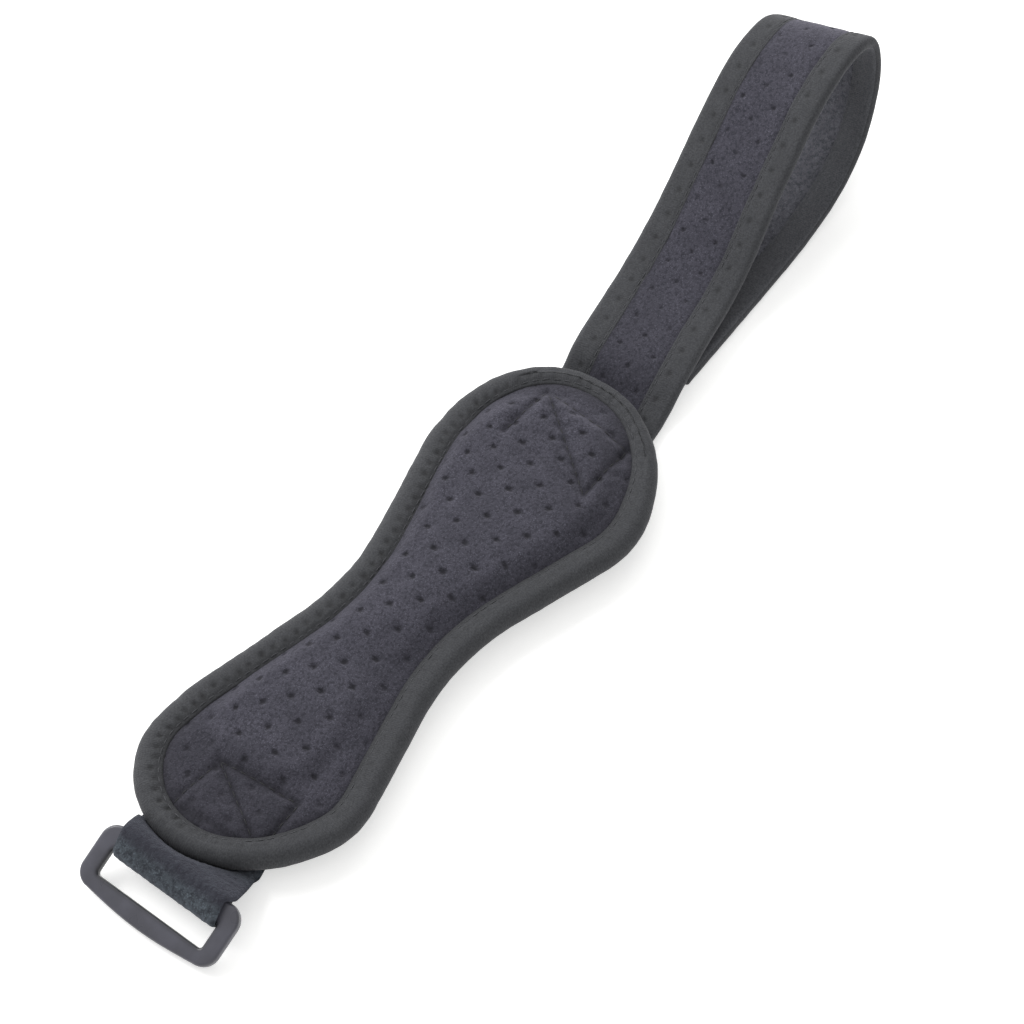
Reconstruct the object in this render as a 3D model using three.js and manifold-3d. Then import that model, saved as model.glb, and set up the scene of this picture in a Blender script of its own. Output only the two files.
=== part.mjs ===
// A knee-cap strap lying on a flat surface: a padded dog-bone pad with a bound edge, an adjusting strap
// sewn under one lobe and folded back on itself in a raised loop, and a ring buckle on a folded tape.
// Millimetres, +Z up. The origin is the middle of the pad's flat back, +X runs along the pad to the strap.
import * as THREE from 'three';
import { mergeVertices } from 'three/addons/utils/BufferGeometryUtils.js';
import Module from 'manifold-3d';

const wasm = await Module();
wasm.setup();

// Clearances and cloth
const GAP = 0.3; // between pieces that touch
const TAPE_WALL = 1.0; // binding tape

// Pad, seen from the front
const LOBE_SPACING = 128.8; // between the centres of the two round lobes
const STRAP_LOBE_RADIUS = 38.6;
const BUCKLE_LOBE_RADIUS = 36.7;
const WAIST_WIDTH = 48.5;
const WAIST_SHIFT = -1.3; // the narrowest place, from the middle
const STRAP_FLANK_LEFT = 34.13; // straight edge between a lobe and the waist's curve, on the +Y side
const STRAP_FLANK_RIGHT = 32.42;
const BUCKLE_FLANK_LEFT = 39.02;
const BUCKLE_FLANK_RIGHT = 33.66;
// How far out each lobe reaches, as shares of its radius, at even turns from its -Y side round the tip.
const STRAP_LOBE_SHAPE = [0.992, 0.982, 1.043, 1.131, 1.162, 1.07, 0.98];
const BUCKLE_LOBE_SHAPE = [0.997, 0.961, 0.988, 1.049, 1.074, 1.044, 0.953];

// Pad, cut across
const PAD_EDGE_THICK = 8.4; // over the binding
const PAD_BAND = 9.6; // binding seen on each face
const STRAP_TIP_BAND = 7.2; // where it narrows, at each lobe's tip
const BUCKLE_TIP_BAND = 8.4;
const SEAM_DROP = 1.3; // the tape dips by this to its inner edge
const CROWN_RISE = 4.2; // the cushion stands this far above its seam
const CROWN_RUN = 15; // over this distance from the seam
const BACK_RUN = 3; // the back comes level this far from the seam
const CREST = 0.7; // share of the band at which the tape starts to dip
const CREST_DROP = 0.15; // share of the dip that is reached there
const CROWN_RINGS = [0, 0.2, 0.45, 0.7, 1]; // shares of the way from the seam to the middle line

// Holes punched in the cloth
const HOLE_RADIUS = 1.0;
const HOLE_DEPTH = 2.0;
const PAD_HOLE_PITCH = 9.0;
const PAD_HOLE_TURN = -39; // degrees from the pad's length
const PAD_HOLE_AHEAD = -1.3; // one hole's middle, from the pad's own
const PAD_HOLE_ASIDE = 3.0;
const PAD_HOLE_MARGIN = 4.4; // from the seam to a hole's middle
const STRAP_HOLE_PITCH = 9.0;
const STRAP_HOLE_TURN = -40;
const STRAP_HOLE_MARGIN = 1.9;
const PUNCHED_LENGTH = 160; // of the strap, from the pad's end to past the fold

// Adjusting strap
const STRAP_WIDTH = 38;
const STRAP_THICK = 4.2;
const STRAP_BAND = 9.5;
const STRAP_SWELL = 1.9; // half the thickness of the punched middle
const SEWN_LENGTH = 45; // held under the pad
const SEWN_TURN = 0.145; // sideways run of that length, for each unit along
const LOOP_REACH = 138.2; // from the pad's end to the fold's far side
const LOOP_RISE = 38; // the loop's top, above the run that lies on the patch
const LOOP_DRIFT = 23.3; // sideways, at the fold

// Fastening patch at the strap's free end
const PATCH_LENGTH = 21;
const PATCH_WIDTH = 29;
const PATCH_THICK = 2.0;
const PATCH_INSET = 4; // from the free end

// Buckle, a flat ring that leans on its free bar
const SLOT_LENGTH = 40.5;
const SLOT_WIDTH = 9.1;
const FREE_BAR = 6.4;
const TAPE_BAR = 5.9;
const SIDE_BAR = 5.8;
const BUCKLE_THICK = 3.2;
const BAR_BOW = 1.6; // the free bar's outer edge bulges by this
const CORNER_RADIUS = 5.5;
const SLOT_CORNER = 1.2;
const EDGE_ROUND = 0.9;
const BUCKLE_TILT = 27; // degrees
const BUCKLE_STANDOFF = 24.8; // from the pad's end to the free bar's outer edge
const BUCKLE_SHIFT = -4.6; // sideways

// Folded tape that holds the buckle
const TAPE_WIDTH = 38.6;
const TAPE_THICK = 1.7;
const TAPE_SEWN = 38; // held under the pad
const TAPE_TURN = 0.22; // sideways run for each unit along
const TAPE_EASE = 3; // it bends from this far under the pad's end
const TAPE_PULL = 2; // and leans this far past the end before it climbs
const TAPE_LIFT = 4.5; // its climb aims this far past the ring

// The route of the strap beyond the pad. reach, rise and drift are shares of the sizes above, and stack
// is the share of the climb from the surface on to the patch. swing and bank turn the strap's width away
// from straight across and from level, and steps is the number of sections up to the next row.
const ROUTE = [
  { reach: -0.01, stack: 0.0, rise: 0.0, drift: 0.155, swing: -0.145, bank: 0.0, steps: 3 },
  { reach: 0.082, stack: 0.84, rise: 0.0, drift: 0.242, swing: -0.23, bank: 0.07, steps: 3 },
  { reach: 0.201, stack: 1.0, rise: 0.008, drift: 0.377, swing: -0.16, bank: 0.0, steps: 2 },
  { reach: 0.325, stack: 1.0, rise: 0.02, drift: 0.521, swing: -0.16, bank: 0.0, steps: 3 },
  { reach: 0.437, stack: 1.0, rise: 0.143, drift: 0.636, swing: -0.11, bank: -0.04, steps: 2 },
  { reach: 0.553, stack: 1.0, rise: 0.418, drift: 0.748, swing: -0.04, bank: -0.098, steps: 2 },
  { reach: 0.665, stack: 1.0, rise: 0.692, drift: 0.846, swing: -0.03, bank: -0.11, steps: 2 },
  { reach: 0.754, stack: 1.0, rise: 0.887, drift: 0.919, swing: -0.04, bank: -0.15, steps: 3 },
  { reach: 0.844, stack: 1.0, rise: 0.996, drift: 0.972, swing: -0.1, bank: -0.2, steps: 3 },
  { reach: 0.93, stack: 1.0, rise: 1.0, drift: 1.0, swing: -0.07, bank: -0.25, steps: 4 },
  { reach: 0.985, stack: 1.0, rise: 0.876, drift: 0.982, swing: -0.09, bank: -0.34, steps: 3 },
  { reach: 1, stack: 1.0, rise: 0.653, drift: 0.903, swing: -0.03, bank: -0.26, steps: 3 },
  { reach: 0.966, stack: 1.0, rise: 0.358, drift: 0.783, swing: 0.0, bank: -0.235, steps: 3 },
  { reach: 0.884, stack: 0.5, rise: 0.149, drift: 0.656, swing: -0.02, bank: -0.19, steps: 3 },
  { reach: 0.763, stack: 0.15, rise: 0.032, drift: 0.562, swing: -0.04, bank: -0.09, steps: 3 },
  { reach: 0.585, stack: 0.0, rise: 0.0, drift: 0.481, swing: -0.06, bank: 0.0, steps: 1 },
  { reach: 0.366, stack: 0.0, rise: 0.0, drift: 0.405, swing: -0.06, bank: 0.0, steps: 1 },
  { reach: 0.147, stack: 0.0, rise: 0.0, drift: 0.332, swing: -0.06, bank: 0.0, steps: 0 },
];

// Sizes that follow from those above
const TIP = (STRAP_LOBE_SHAPE.length - 1) / 2; // the tip's place in a lobe's shape
const PAD_END = LOBE_SPACING / 2 + STRAP_LOBE_RADIUS * STRAP_LOBE_SHAPE[TIP];
const BUCKLE_END = LOBE_SPACING / 2 + BUCKLE_LOBE_RADIUS * BUCKLE_LOBE_SHAPE[TIP];
const SURFACE = -(STRAP_THICK + GAP); // what the whole strap lies on
const RUN_LEVEL = SURFACE + STRAP_THICK / 2; // middle of a strap that lies on the surface
const STACK_CLIMB = STRAP_THICK + PATCH_THICK + 2 * GAP; // to a strap that lies on the patch
const radians = THREE.MathUtils.degToRad;

// Arrays of points [x, y, z], one for each section, become one closed body. The sections are joined in
// order, and the last one to the first where the body is a loop. A body that is no loop closes by itself
// where its first and last sections shrink to a point or a line.
function loft(sections, looped) {
  const count = sections[0].length;
  const rows = looped ? sections.length : sections.length - 1;
  const faces = [];
  const at = (row, column) => (row % sections.length) * count + (column % count);
  for (let row = 0; row < rows; row += 1) {
    for (let column = 0; column < count; column += 1) {
      const [a, b] = [at(row, column), at(row, column + 1)];
      const [c, d] = [at(row + 1, column + 1), at(row + 1, column)];
      faces.push(a, b, c, a, c, d);
    }
  }
  return bodyOf(sections.flat(), faces);
}

// The flat ends of a loft, cut into triangles in the section's own plane.
function capFaces(outline, offset, reversed) {
  const contour = outline.map(([across, up]) => new THREE.Vector2(across, up));
  const triangles = THREE.ShapeUtils.triangulateShape(contour, []);
  return triangles.flatMap(([a, b, c]) => {
    const corners = reversed ? [a, c, b] : [a, b, c];
    return corners.map((corner) => corner + offset);
  });
}

// Points and faces as a geometry with shared vertices, collapsed faces dropped, and faces pointing out.
function bodyOf(points, faces) {
  let geometry = new THREE.BufferGeometry();
  geometry.setAttribute('position', new THREE.Float32BufferAttribute(points.flat(), 3));
  geometry.setIndex(faces);
  geometry = mergeVertices(geometry, 1e-3);
  const index = [...geometry.index.array];
  const kept = [];
  for (let i = 0; i < index.length; i += 3) {
    const [a, b, c] = index.slice(i, i + 3);
    if (a !== b && b !== c && c !== a) kept.push(a, b, c);
  }
  if (signedVolume(geometry, kept) < 0) kept.reverse();
  geometry.setIndex(kept);
  return geometry;
}

function signedVolume(geometry, index) {
  const position = geometry.getAttribute('position');
  const corner = (i) => new THREE.Vector3().fromBufferAttribute(position, index[i]);
  let volume = 0;
  for (let i = 0; i < index.length; i += 3) {
    volume += corner(i).dot(corner(i + 1).cross(corner(i + 2))) / 6;
  }
  return volume;
}

// A geometry of any kind as a closed body that can be cut.
function manifoldOf(geometry) {
  const bare = geometry.clone();
  bare.deleteAttribute('normal');
  bare.deleteAttribute('uv');
  const merged = mergeVertices(bare, 1e-4);
  return new wasm.Manifold(new wasm.Mesh({
    numProp: 3,
    vertProperties: new Float32Array(merged.getAttribute('position').array),
    triVerts: new Uint32Array(merged.index.array),
  }));
}

function geometryOf(manifold) {
  const mesh = manifold.getMesh();
  const geometry = new THREE.BufferGeometry();
  geometry.setAttribute('position', new THREE.BufferAttribute(mesh.vertProperties, 3));
  geometry.setIndex(new THREE.BufferAttribute(mesh.triVerts, 1));
  return geometry;
}

// Punches a blind hole at each place, given by the middle of its floor and the way out.
function punch(geometry, places) {
  let body = manifoldOf(geometry);
  const reach = HOLE_DEPTH + CROWN_RISE;
  for (const { floor, out } of places) {
    const tool = new THREE.CylinderGeometry(HOLE_RADIUS, HOLE_RADIUS, reach, 6);
    tool.translate(0, reach / 2, 0);
    tool.applyQuaternion(new THREE.Quaternion().setFromUnitVectors(new THREE.Vector3(0, 1, 0), out));
    tool.translate(floor.x, floor.y, floor.z);
    body = body.subtract(manifoldOf(tool));
  }
  return geometryOf(body);
}

// Points of a lattice with the given pitch and turn that lie within the given half lengths.
function lattice(pitch, turn, halfLength, halfWidth) {
  const [c, s] = [Math.cos(radians(turn)) * pitch, Math.sin(radians(turn)) * pitch];
  const reach = Math.ceil(Math.hypot(halfLength, halfWidth) / pitch);
  const points = [];
  for (let i = -reach; i <= reach; i += 1) {
    for (let j = -reach; j <= reach; j += 1) {
      const point = { along: i * c - j * s, across: i * s + j * c };
      if (Math.abs(point.along) <= halfLength && Math.abs(point.across) <= halfWidth) points.push(point);
    }
  }
  return points;
}

// Value at a share between b and c of a smooth curve through four even values.
function smooth([a, b, c, d], t) {
  return 0.5 * (2 * b + (c - a) * t + (2 * a - 5 * b + 4 * c - d) * t ** 2 + (3 * b - 3 * c + d - a) * t ** 3);
}

// A lobe's reach as a share of its radius, at an angle from its tip. shape runs toward the given side.
function lobeShare(shape, angle) {
  const place = Math.min(TIP + (angle / (Math.PI / 2)) * TIP, shape.length - 1);
  const from = Math.min(Math.floor(place), shape.length - 2);
  const held = (i) => shape[Math.min(Math.max(i, 0), shape.length - 1)];
  return smooth([held(from - 1), held(from), held(from + 1), held(from + 2)], place - from);
}

// One quarter of the pad's outline: from a lobe's tip over the lobe, along the straight flank and round
// the waist to its narrowest place. The waist's radius is the one that leaves the flank its length. Each
// station holds its place, the way inward, the width of the binding there, and core, the x at which the
// way inward meets the pad's middle line.
function quarterOutline({ radius, tipBand }, lobeX, shape, flankLength) {
  const side = radius * shape.at(-1);
  const run = Math.abs(lobeX - WAIST_SHIFT);
  const waist = WAIST_WIDTH / 2;
  const waistRadius = (run ** 2 + waist ** 2 - side ** 2 - flankLength ** 2) / (2 * (side - waist));
  const waistY = waist + waistRadius;
  const flank = Math.atan2(run, waistY) - Math.acos((side + waistRadius) / Math.hypot(run, waistY));
  const lobeSteps = 11;
  const lobeSweep = Math.PI / 2 + flank;
  const stations = Array.from({ length: lobeSteps + 1 }, (_, i) => {
    const angle = (lobeSweep * i) / lobeSteps;
    const inward = new THREE.Vector2(-Math.cos(angle), -Math.sin(angle));
    const band = THREE.MathUtils.lerp(PAD_BAND, tipBand, Math.max(Math.cos(angle), 0) ** 2);
    return { place: inward.clone().multiplyScalar(-radius * lobeShare(shape, angle)), inward, band, core: 0 };
  });
  const along = (place, way) => {
    const core = place.x - (way.x * place.y) / way.y;
    return { place, inward: way, band: PAD_BAND, core };
  };
  const inward = new THREE.Vector2(Math.sin(flank), -Math.cos(flank));
  const waistCentre = new THREE.Vector2(-run, waistY);
  const flankEnd = waistCentre.clone().addScaledVector(inward, waistRadius);
  const flankStart = stations.at(-1).place;
  const flankSteps = 3;
  for (let i = 1; i <= flankSteps; i += 1) {
    stations.push(along(flankStart.clone().lerp(flankEnd, i / flankSteps), inward.clone()));
  }
  const waistSteps = 2;
  for (let i = 1; i <= waistSteps; i += 1) {
    const angle = flank * (1 - i / waistSteps);
    const turned = new THREE.Vector2(Math.sin(angle), -Math.cos(angle));
    stations.push(along(waistCentre.clone().addScaledVector(turned, waistRadius), turned));
  }
  const facing = Math.sign(lobeX);
  return stations.map((station) => ({
    ...station,
    core: lobeX + facing * station.core,
    place: new THREE.Vector2(lobeX + facing * station.place.x, station.place.y),
    inward: new THREE.Vector2(facing * station.inward.x, station.inward.y),
  }));
}

// The whole outline, anticlockwise from the tip at the strap. Stations that face each other share a core.
function padOutline() {
  const strapLobe = { radius: STRAP_LOBE_RADIUS, tipBand: STRAP_TIP_BAND };
  const buckleLobe = { radius: BUCKLE_LOBE_RADIUS, tipBand: BUCKLE_TIP_BAND };
  const half = (strapShape, strapFlank, buckleShape, buckleFlank) => [
    ...quarterOutline(strapLobe, LOBE_SPACING / 2, strapShape, strapFlank),
    ...quarterOutline(buckleLobe, -LOBE_SPACING / 2, buckleShape, buckleFlank).reverse().slice(1),
  ];
  const upper = half(STRAP_LOBE_SHAPE, STRAP_FLANK_LEFT, BUCKLE_LOBE_SHAPE, BUCKLE_FLANK_LEFT);
  const [strapMirror, buckleMirror] = [STRAP_LOBE_SHAPE.toReversed(), BUCKLE_LOBE_SHAPE.toReversed()];
  const lower = half(strapMirror, STRAP_FLANK_RIGHT, buckleMirror, BUCKLE_FLANK_RIGHT);
  upper.forEach((station, i) => {
    station.core = (station.core + lower[i].core) / 2;
    lower[i].core = station.core;
  });
  const mirrored = lower.slice(1, -1).reverse().map((station) => ({
    ...station,
    place: new THREE.Vector2(station.place.x, -station.place.y),
    inward: new THREE.Vector2(station.inward.x, -station.inward.y),
  }));
  return [...upper, ...mirrored];
}

const OUTLINE = padOutline();
const inset = ({ place, inward }, depth, height) => [
  place.x + inward.x * depth,
  place.y + inward.y * depth,
  height,
];

// A half round edge from the back to the front, as [depth, height] pairs.
function roundEdge(radius, steps, wall) {
  const middle = PAD_EDGE_THICK / 2;
  return Array.from({ length: steps + 1 }, (_, i) => {
    const angle = (Math.PI * i) / steps;
    return [wall + radius * (1 - Math.sin(angle)), middle - radius * Math.cos(angle)];
  });
}

// Height of the cushion's front at a distance inward from its seam.
function crownHeight(distance) {
  const run = THREE.MathUtils.clamp(distance / CROWN_RUN, 0, 1);
  return PAD_EDGE_THICK - SEAM_DROP - GAP + CROWN_RISE * (1 - (1 - run) ** 2);
}

// The C section's outer rounding runs in to CREST of its width before the tape dips to its seam.
function padBinding() {
  const half = PAD_EDGE_THICK / 2;
  const front = PAD_EDGE_THICK - SEAM_DROP;
  const section = (band) => [
    [band, 0],
    ...roundEdge(half, 6, 0),
    [band * CREST, PAD_EDGE_THICK - SEAM_DROP * CREST_DROP],
    [band, front],
    [band, front - TAPE_WALL],
    ...roundEdge(half - TAPE_WALL, 4, TAPE_WALL).reverse(),
    [band, TAPE_WALL],
  ];
  return loft(OUTLINE.map((s) => section(s.band).map(([depth, height]) => inset(s, depth, height))), true);
}

function padCushion() {
  const wall = TAPE_WALL + GAP;
  const front = PAD_EDGE_THICK - SEAM_DROP - wall;
  const rings = [
    (s) => [s.core, 0, 0],
    (s) => inset(s, s.band + GAP + BACK_RUN, 0),
    (s) => inset(s, s.band + GAP, wall),
    ...roundEdge(PAD_EDGE_THICK / 2 - wall, 4, wall).map(([depth, height]) => (s) => inset(s, depth, height)),
    (s) => inset(s, s.band + GAP, front),
    ...CROWN_RINGS.map((share) => (s) => {
      const [x, y] = inset(s, s.band + GAP, front);
      const height = crownHeight(Math.hypot(s.core - x, y) * share);
      return [THREE.MathUtils.lerp(x, s.core, share), y * (1 - share), height];
    }),
  ];
  return punch(loft(rings.map((ring) => OUTLINE.map(ring)), false), padHoles());
}

const SEAM = OUTLINE.map((station) => new THREE.Vector3(...inset(station, station.band, 0)));

// Distance from a point of the plan to the seam round the cushion's front.
function seamDistance(point) {
  const edge = new THREE.Line3();
  const nearest = new THREE.Vector3();
  return Math.min(...SEAM.map((corner, i) => {
    edge.set(corner, SEAM[(i + 1) % SEAM.length]);
    return edge.closestPointToPoint(point, true, nearest).distanceTo(point);
  }));
}

function isInsideSeam({ x, y }) {
  return SEAM.reduce((inside, a, i) => {
    const b = SEAM[(i + 1) % SEAM.length];
    const crosses = a.y > y !== b.y > y && x < ((b.x - a.x) * (y - a.y)) / (b.y - a.y) + a.x;
    return crosses ? !inside : inside;
  }, false);
}

function padHoles() {
  const width = Math.max(STRAP_LOBE_RADIUS, BUCKLE_LOBE_RADIUS);
  return lattice(PAD_HOLE_PITCH, PAD_HOLE_TURN, PAD_END, width)
    .map(({ along, across }) => new THREE.Vector3(along + PAD_HOLE_AHEAD, across + PAD_HOLE_ASIDE, 0))
    .filter((point) => isInsideSeam(point) && seamDistance(point) > PAD_HOLE_MARGIN)
    .map((point) => ({
      floor: point.clone().setZ(crownHeight(seamDistance(point)) - HOLE_DEPTH),
      out: new THREE.Vector3(0, 0, 1),
    }));
}

// The strap's rows with their places: first the stretch sewn under the pad, then the route.
function strapRows() {
  const rows = ROUTE.map((row) => ({
    ...row,
    x: PAD_END + row.reach * LOOP_REACH,
    y: row.drift * LOOP_DRIFT,
    z: RUN_LEVEL + row.stack * STACK_CLIMB + row.rise * LOOP_RISE,
  }));
  const first = rows[0];
  const sewn = [1, 0.5].map((share) => ({
    ...first,
    x: PAD_END - share * SEWN_LENGTH,
    y: first.y - share * SEWN_LENGTH * SEWN_TURN,
    steps: 1,
  }));
  return [...sewn, ...rows];
}

// Sections along the strap: the middle, the way along, the way across and the way out of its front face.
function strapStations() {
  const rows = strapRows();
  const mirrored = (a, b, key) => 2 * a[key] - b[key];
  const column = (key) => [
    mirrored(rows[0], rows[1], key),
    ...rows.map((row) => row[key]),
    mirrored(rows.at(-1), rows.at(-2), key),
  ];
  const columns = Object.fromEntries(['x', 'y', 'z', 'swing', 'bank'].map((key) => [key, column(key)]));
  const value = (key, i, t) => smooth(columns[key].slice(i, i + 4), t);
  const middle = (i, t) => new THREE.Vector3(
    value('x', i, t),
    value('y', i, t),
    Math.max(value('z', i, t), RUN_LEVEL),
  );
  const nudge = 0.02;
  const stations = [];
  rows.forEach(({ steps }, i) => {
    const last = i === rows.length - 1;
    const shares = last ? [1] : Array.from({ length: steps }, (_, k) => k / steps);
    for (const t of shares) {
      const from = last ? i - 1 : i;
      const before = middle(from, Math.max(t - nudge, 0));
      const along = middle(from, Math.min(t + nudge, 1)).sub(before).normalize();
      const across = new THREE.Vector3(value('swing', from, t), 1, value('bank', from, t));
      across.addScaledVector(along, -across.dot(along)).normalize();
      const out = new THREE.Vector3().crossVectors(along, across);
      stations.push({ middle: middle(from, t), along, across, out });
    }
  });
  return stations;
}

const STATIONS = strapStations();

function ribbonPoint({ middle, across, out }, [side, up]) {
  return middle.clone().addScaledVector(across, side).addScaledVector(out, up).toArray();
}

// A section of [side, up] pairs drawn along the given stations, with flat ends.
function ribbon(stations, section) {
  const points = stations.flatMap((station) => section.map((pair) => ribbonPoint(station, pair)));
  const count = section.length;
  const faces = [];
  for (let row = 0; row < stations.length - 1; row += 1) {
    for (let column = 0; column < count; column += 1) {
      const next = (column + 1) % count;
      const [a, b] = [row * count + column, row * count + next];
      faces.push(a, b, b + count, a, b + count, a + count);
    }
  }
  faces.push(...capFaces(section, 0, true));
  faces.push(...capFaces(section, (stations.length - 1) * count, false));
  return bodyOf(points, faces);
}

function strapBinding(side) {
  const half = STRAP_THICK / 2;
  const edge = STRAP_WIDTH / 2;
  const inner = edge - STRAP_BAND;
  const steps = 4;
  const rim = Array.from({ length: steps + 1 }, (_, i) => {
    const angle = Math.PI * (0.5 - i / steps);
    return [edge - half * (1 - Math.cos(angle)), half * Math.sin(angle)];
  });
  const section = [
    [inner, half],
    ...rim,
    [inner, -half],
    [inner, TAPE_WALL - half],
    [edge - TAPE_WALL, TAPE_WALL - half],
    [edge - TAPE_WALL, half - TAPE_WALL],
    [inner, half - TAPE_WALL],
  ];
  const sided = section.map(([across, up]) => [side * across, up]);
  return ribbon(STATIONS, side > 0 ? sided.reverse() : sided);
}

function strapPanel() {
  const edge = STRAP_WIDTH / 2 - TAPE_WALL - GAP;
  const seam = STRAP_WIDTH / 2 - STRAP_BAND - GAP;
  const web = STRAP_THICK / 2 - TAPE_WALL - GAP;
  const shoulder = STRAP_SWELL * 0.9;
  const upper = [[edge, web], [seam, web], [seam, shoulder], [0, STRAP_SWELL], [-seam, shoulder]];
  const half = [...upper, [-seam, web], [-edge, web]];
  const lower = half.map(([across, up]) => [-across, -up]);
  return punch(ribbon(STATIONS, [...half, ...lower]), strapHoles());
}

// Distance along the strap to each station, from the sewn end.
function lengthsAlong() {
  const lengths = [0];
  for (let i = 1; i < STATIONS.length; i += 1) {
    lengths.push(lengths[i - 1] + STATIONS[i].middle.distanceTo(STATIONS[i - 1].middle));
  }
  return lengths;
}

function stationAt(length) {
  const lengths = lengthsAlong();
  const i = Math.max(1, lengths.findIndex((value) => value >= length));
  const t = (length - lengths[i - 1]) / (lengths[i] - lengths[i - 1]);
  const between = (key) => STATIONS[i - 1][key].clone().lerp(STATIONS[i][key], t);
  return { middle: between('middle'), across: between('across').normalize(), out: between('out').normalize() };
}

function strapHoles() {
  const half = STRAP_WIDTH / 2 - STRAP_BAND - STRAP_HOLE_MARGIN;
  return lattice(STRAP_HOLE_PITCH, STRAP_HOLE_TURN, PUNCHED_LENGTH / 2, half).map(({ along, across }) => {
    const station = stationAt(SEWN_LENGTH + PUNCHED_LENGTH / 2 + along);
    const floor = new THREE.Vector3(...ribbonPoint(station, [across, STRAP_SWELL - HOLE_DEPTH]));
    return { floor, out: station.out };
  });
}

function hookPatch() {
  const total = lengthsAlong().at(-1);
  const ends = [total - PATCH_INSET - PATCH_LENGTH, total - PATCH_INSET].map(stationAt);
  const [low, high] = [-(STRAP_THICK / 2 + GAP + PATCH_THICK), -(STRAP_THICK / 2 + GAP)];
  const half = PATCH_WIDTH / 2;
  return ribbon(ends, [[half, low], [half, high], [-half, high], [-half, low]]);
}

// The buckle's own plane: u runs from the free bar's outer edge to the pad, n is square to the ring.
const BUCKLE_LENGTH = FREE_BAR + SLOT_WIDTH + TAPE_BAR;
const LEAN = radians(BUCKLE_TILT);
const BUCKLE_ROOT = {
  x: -(BUCKLE_END + BUCKLE_STANDOFF),
  z: SURFACE + (BUCKLE_THICK / 2) * Math.cos(LEAN),
};

function bucklePlace(u, n) {
  return {
    x: BUCKLE_ROOT.x + u * Math.cos(LEAN) - n * Math.sin(LEAN),
    z: BUCKLE_ROOT.z + u * Math.sin(LEAN) + n * Math.cos(LEAN),
  };
}

function roundedBox(path, low, high, radius, bow) {
  const middle = (low.y + high.y) / 2;
  path.moveTo(high.x - radius, low.y);
  path.absarc(high.x - radius, low.y + radius, radius, -Math.PI / 2, 0);
  path.absarc(high.x - radius, high.y - radius, radius, 0, Math.PI / 2);
  path.absarc(low.x + radius, high.y - radius, radius, Math.PI / 2, Math.PI);
  if (bow) path.quadraticCurveTo(low.x - 2 * bow, middle, low.x, low.y + radius);
  path.absarc(low.x + radius, low.y + radius, radius, Math.PI, Math.PI * 1.5);
  path.closePath();
  return path;
}

function buckle() {
  const halfOuter = SLOT_LENGTH / 2 + SIDE_BAR;
  const low = new THREE.Vector2(BAR_BOW + EDGE_ROUND, EDGE_ROUND - halfOuter);
  const high = new THREE.Vector2(BUCKLE_LENGTH - EDGE_ROUND, halfOuter - EDGE_ROUND);
  const ring = roundedBox(new THREE.Shape(), low, high, CORNER_RADIUS - EDGE_ROUND, BAR_BOW);
  const slotLow = new THREE.Vector2(FREE_BAR - EDGE_ROUND, -SLOT_LENGTH / 2 - EDGE_ROUND);
  const slotHigh = new THREE.Vector2(FREE_BAR + SLOT_WIDTH + EDGE_ROUND, SLOT_LENGTH / 2 + EDGE_ROUND);
  ring.holes.push(roundedBox(new THREE.Path(), slotLow, slotHigh, SLOT_CORNER + EDGE_ROUND, 0));
  const geometry = new THREE.ExtrudeGeometry(ring, {
    depth: BUCKLE_THICK - 2 * EDGE_ROUND,
    bevelThickness: EDGE_ROUND,
    bevelSize: EDGE_ROUND,
    bevelSegments: 2,
    curveSegments: 5,
  });
  geometry.translate(0, 0, EDGE_ROUND - BUCKLE_THICK / 2);
  return geometry;
}

// The tape's middle line seen from the side: in under the pad, up and round the buckle's bar, and back.
// At each crease the tape stands off the bar a little more than the gap, because its fold has flat faces.
function tapeLine() {
  const half = TAPE_THICK / 2;
  const standoff = 1.5 * GAP + half;
  const clear = BUCKLE_THICK / 2 + standoff;
  const slotEnd = FREE_BAR + SLOT_WIDTH;
  const padX = TAPE_SEWN - BUCKLE_END;
  const [upper, lower] = [-GAP - half, SURFACE + half];
  const flat = (x, z) => new THREE.Vector3(x, 0, z);
  const onRing = (u, n) => flat(bucklePlace(u, n).x, bucklePlace(u, n).z);
  const roundBar = (side) => [0, 1, 2, 3].map((step) => {
    const angle = Math.PI / 2 + (Math.PI / 6) * step;
    const u = slotEnd + EDGE_ROUND + (EDGE_ROUND + standoff) * Math.cos(angle);
    const n = BUCKLE_THICK / 2 - EDGE_ROUND + (EDGE_ROUND + standoff) * Math.sin(angle);
    return onRing(u, side * n);
  });
  const climb = new THREE.CubicBezierCurve3(
    flat(TAPE_EASE - BUCKLE_END, upper),
    flat(-TAPE_PULL - BUCKLE_END, upper),
    onRing(BUCKLE_LENGTH + TAPE_LIFT, clear),
    onRing(BUCKLE_LENGTH - EDGE_ROUND, clear),
  );
  const descent = new THREE.CubicBezierCurve3(
    onRing(slotEnd + TAPE_BAR / 2, -clear),
    onRing(slotEnd + TAPE_BAR, -clear),
    flat(-TAPE_PULL - BUCKLE_END, lower),
    flat(TAPE_EASE - BUCKLE_END, lower),
  );
  const points = [
    flat(padX, upper),
    ...climb.getPoints(8),
    ...roundBar(1),
    ...roundBar(-1).reverse(),
    ...descent.getPoints(7),
    flat(padX, lower),
  ];
  const slotX = onRing(slotEnd, 0).x;
  points.forEach((point) => point.setY(BUCKLE_SHIFT + (point.x - slotX) * TAPE_TURN));
  return points;
}

function buckleTape() {
  const points = tapeLine();
  const across = new THREE.Vector3(0, 1, 0);
  const stations = points.map((middle, i) => {
    const along = points[Math.min(i + 1, points.length - 1)].clone().sub(points[Math.max(i - 1, 0)]);
    const out = along.setY(0).normalize().cross(across);
    return { middle, across, out };
  });
  const [side, up] = [TAPE_WIDTH / 2, TAPE_THICK / 2];
  return ribbon(stations, [[side, -up], [side, up], [-side, up], [-side, -up]]);
}

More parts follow.
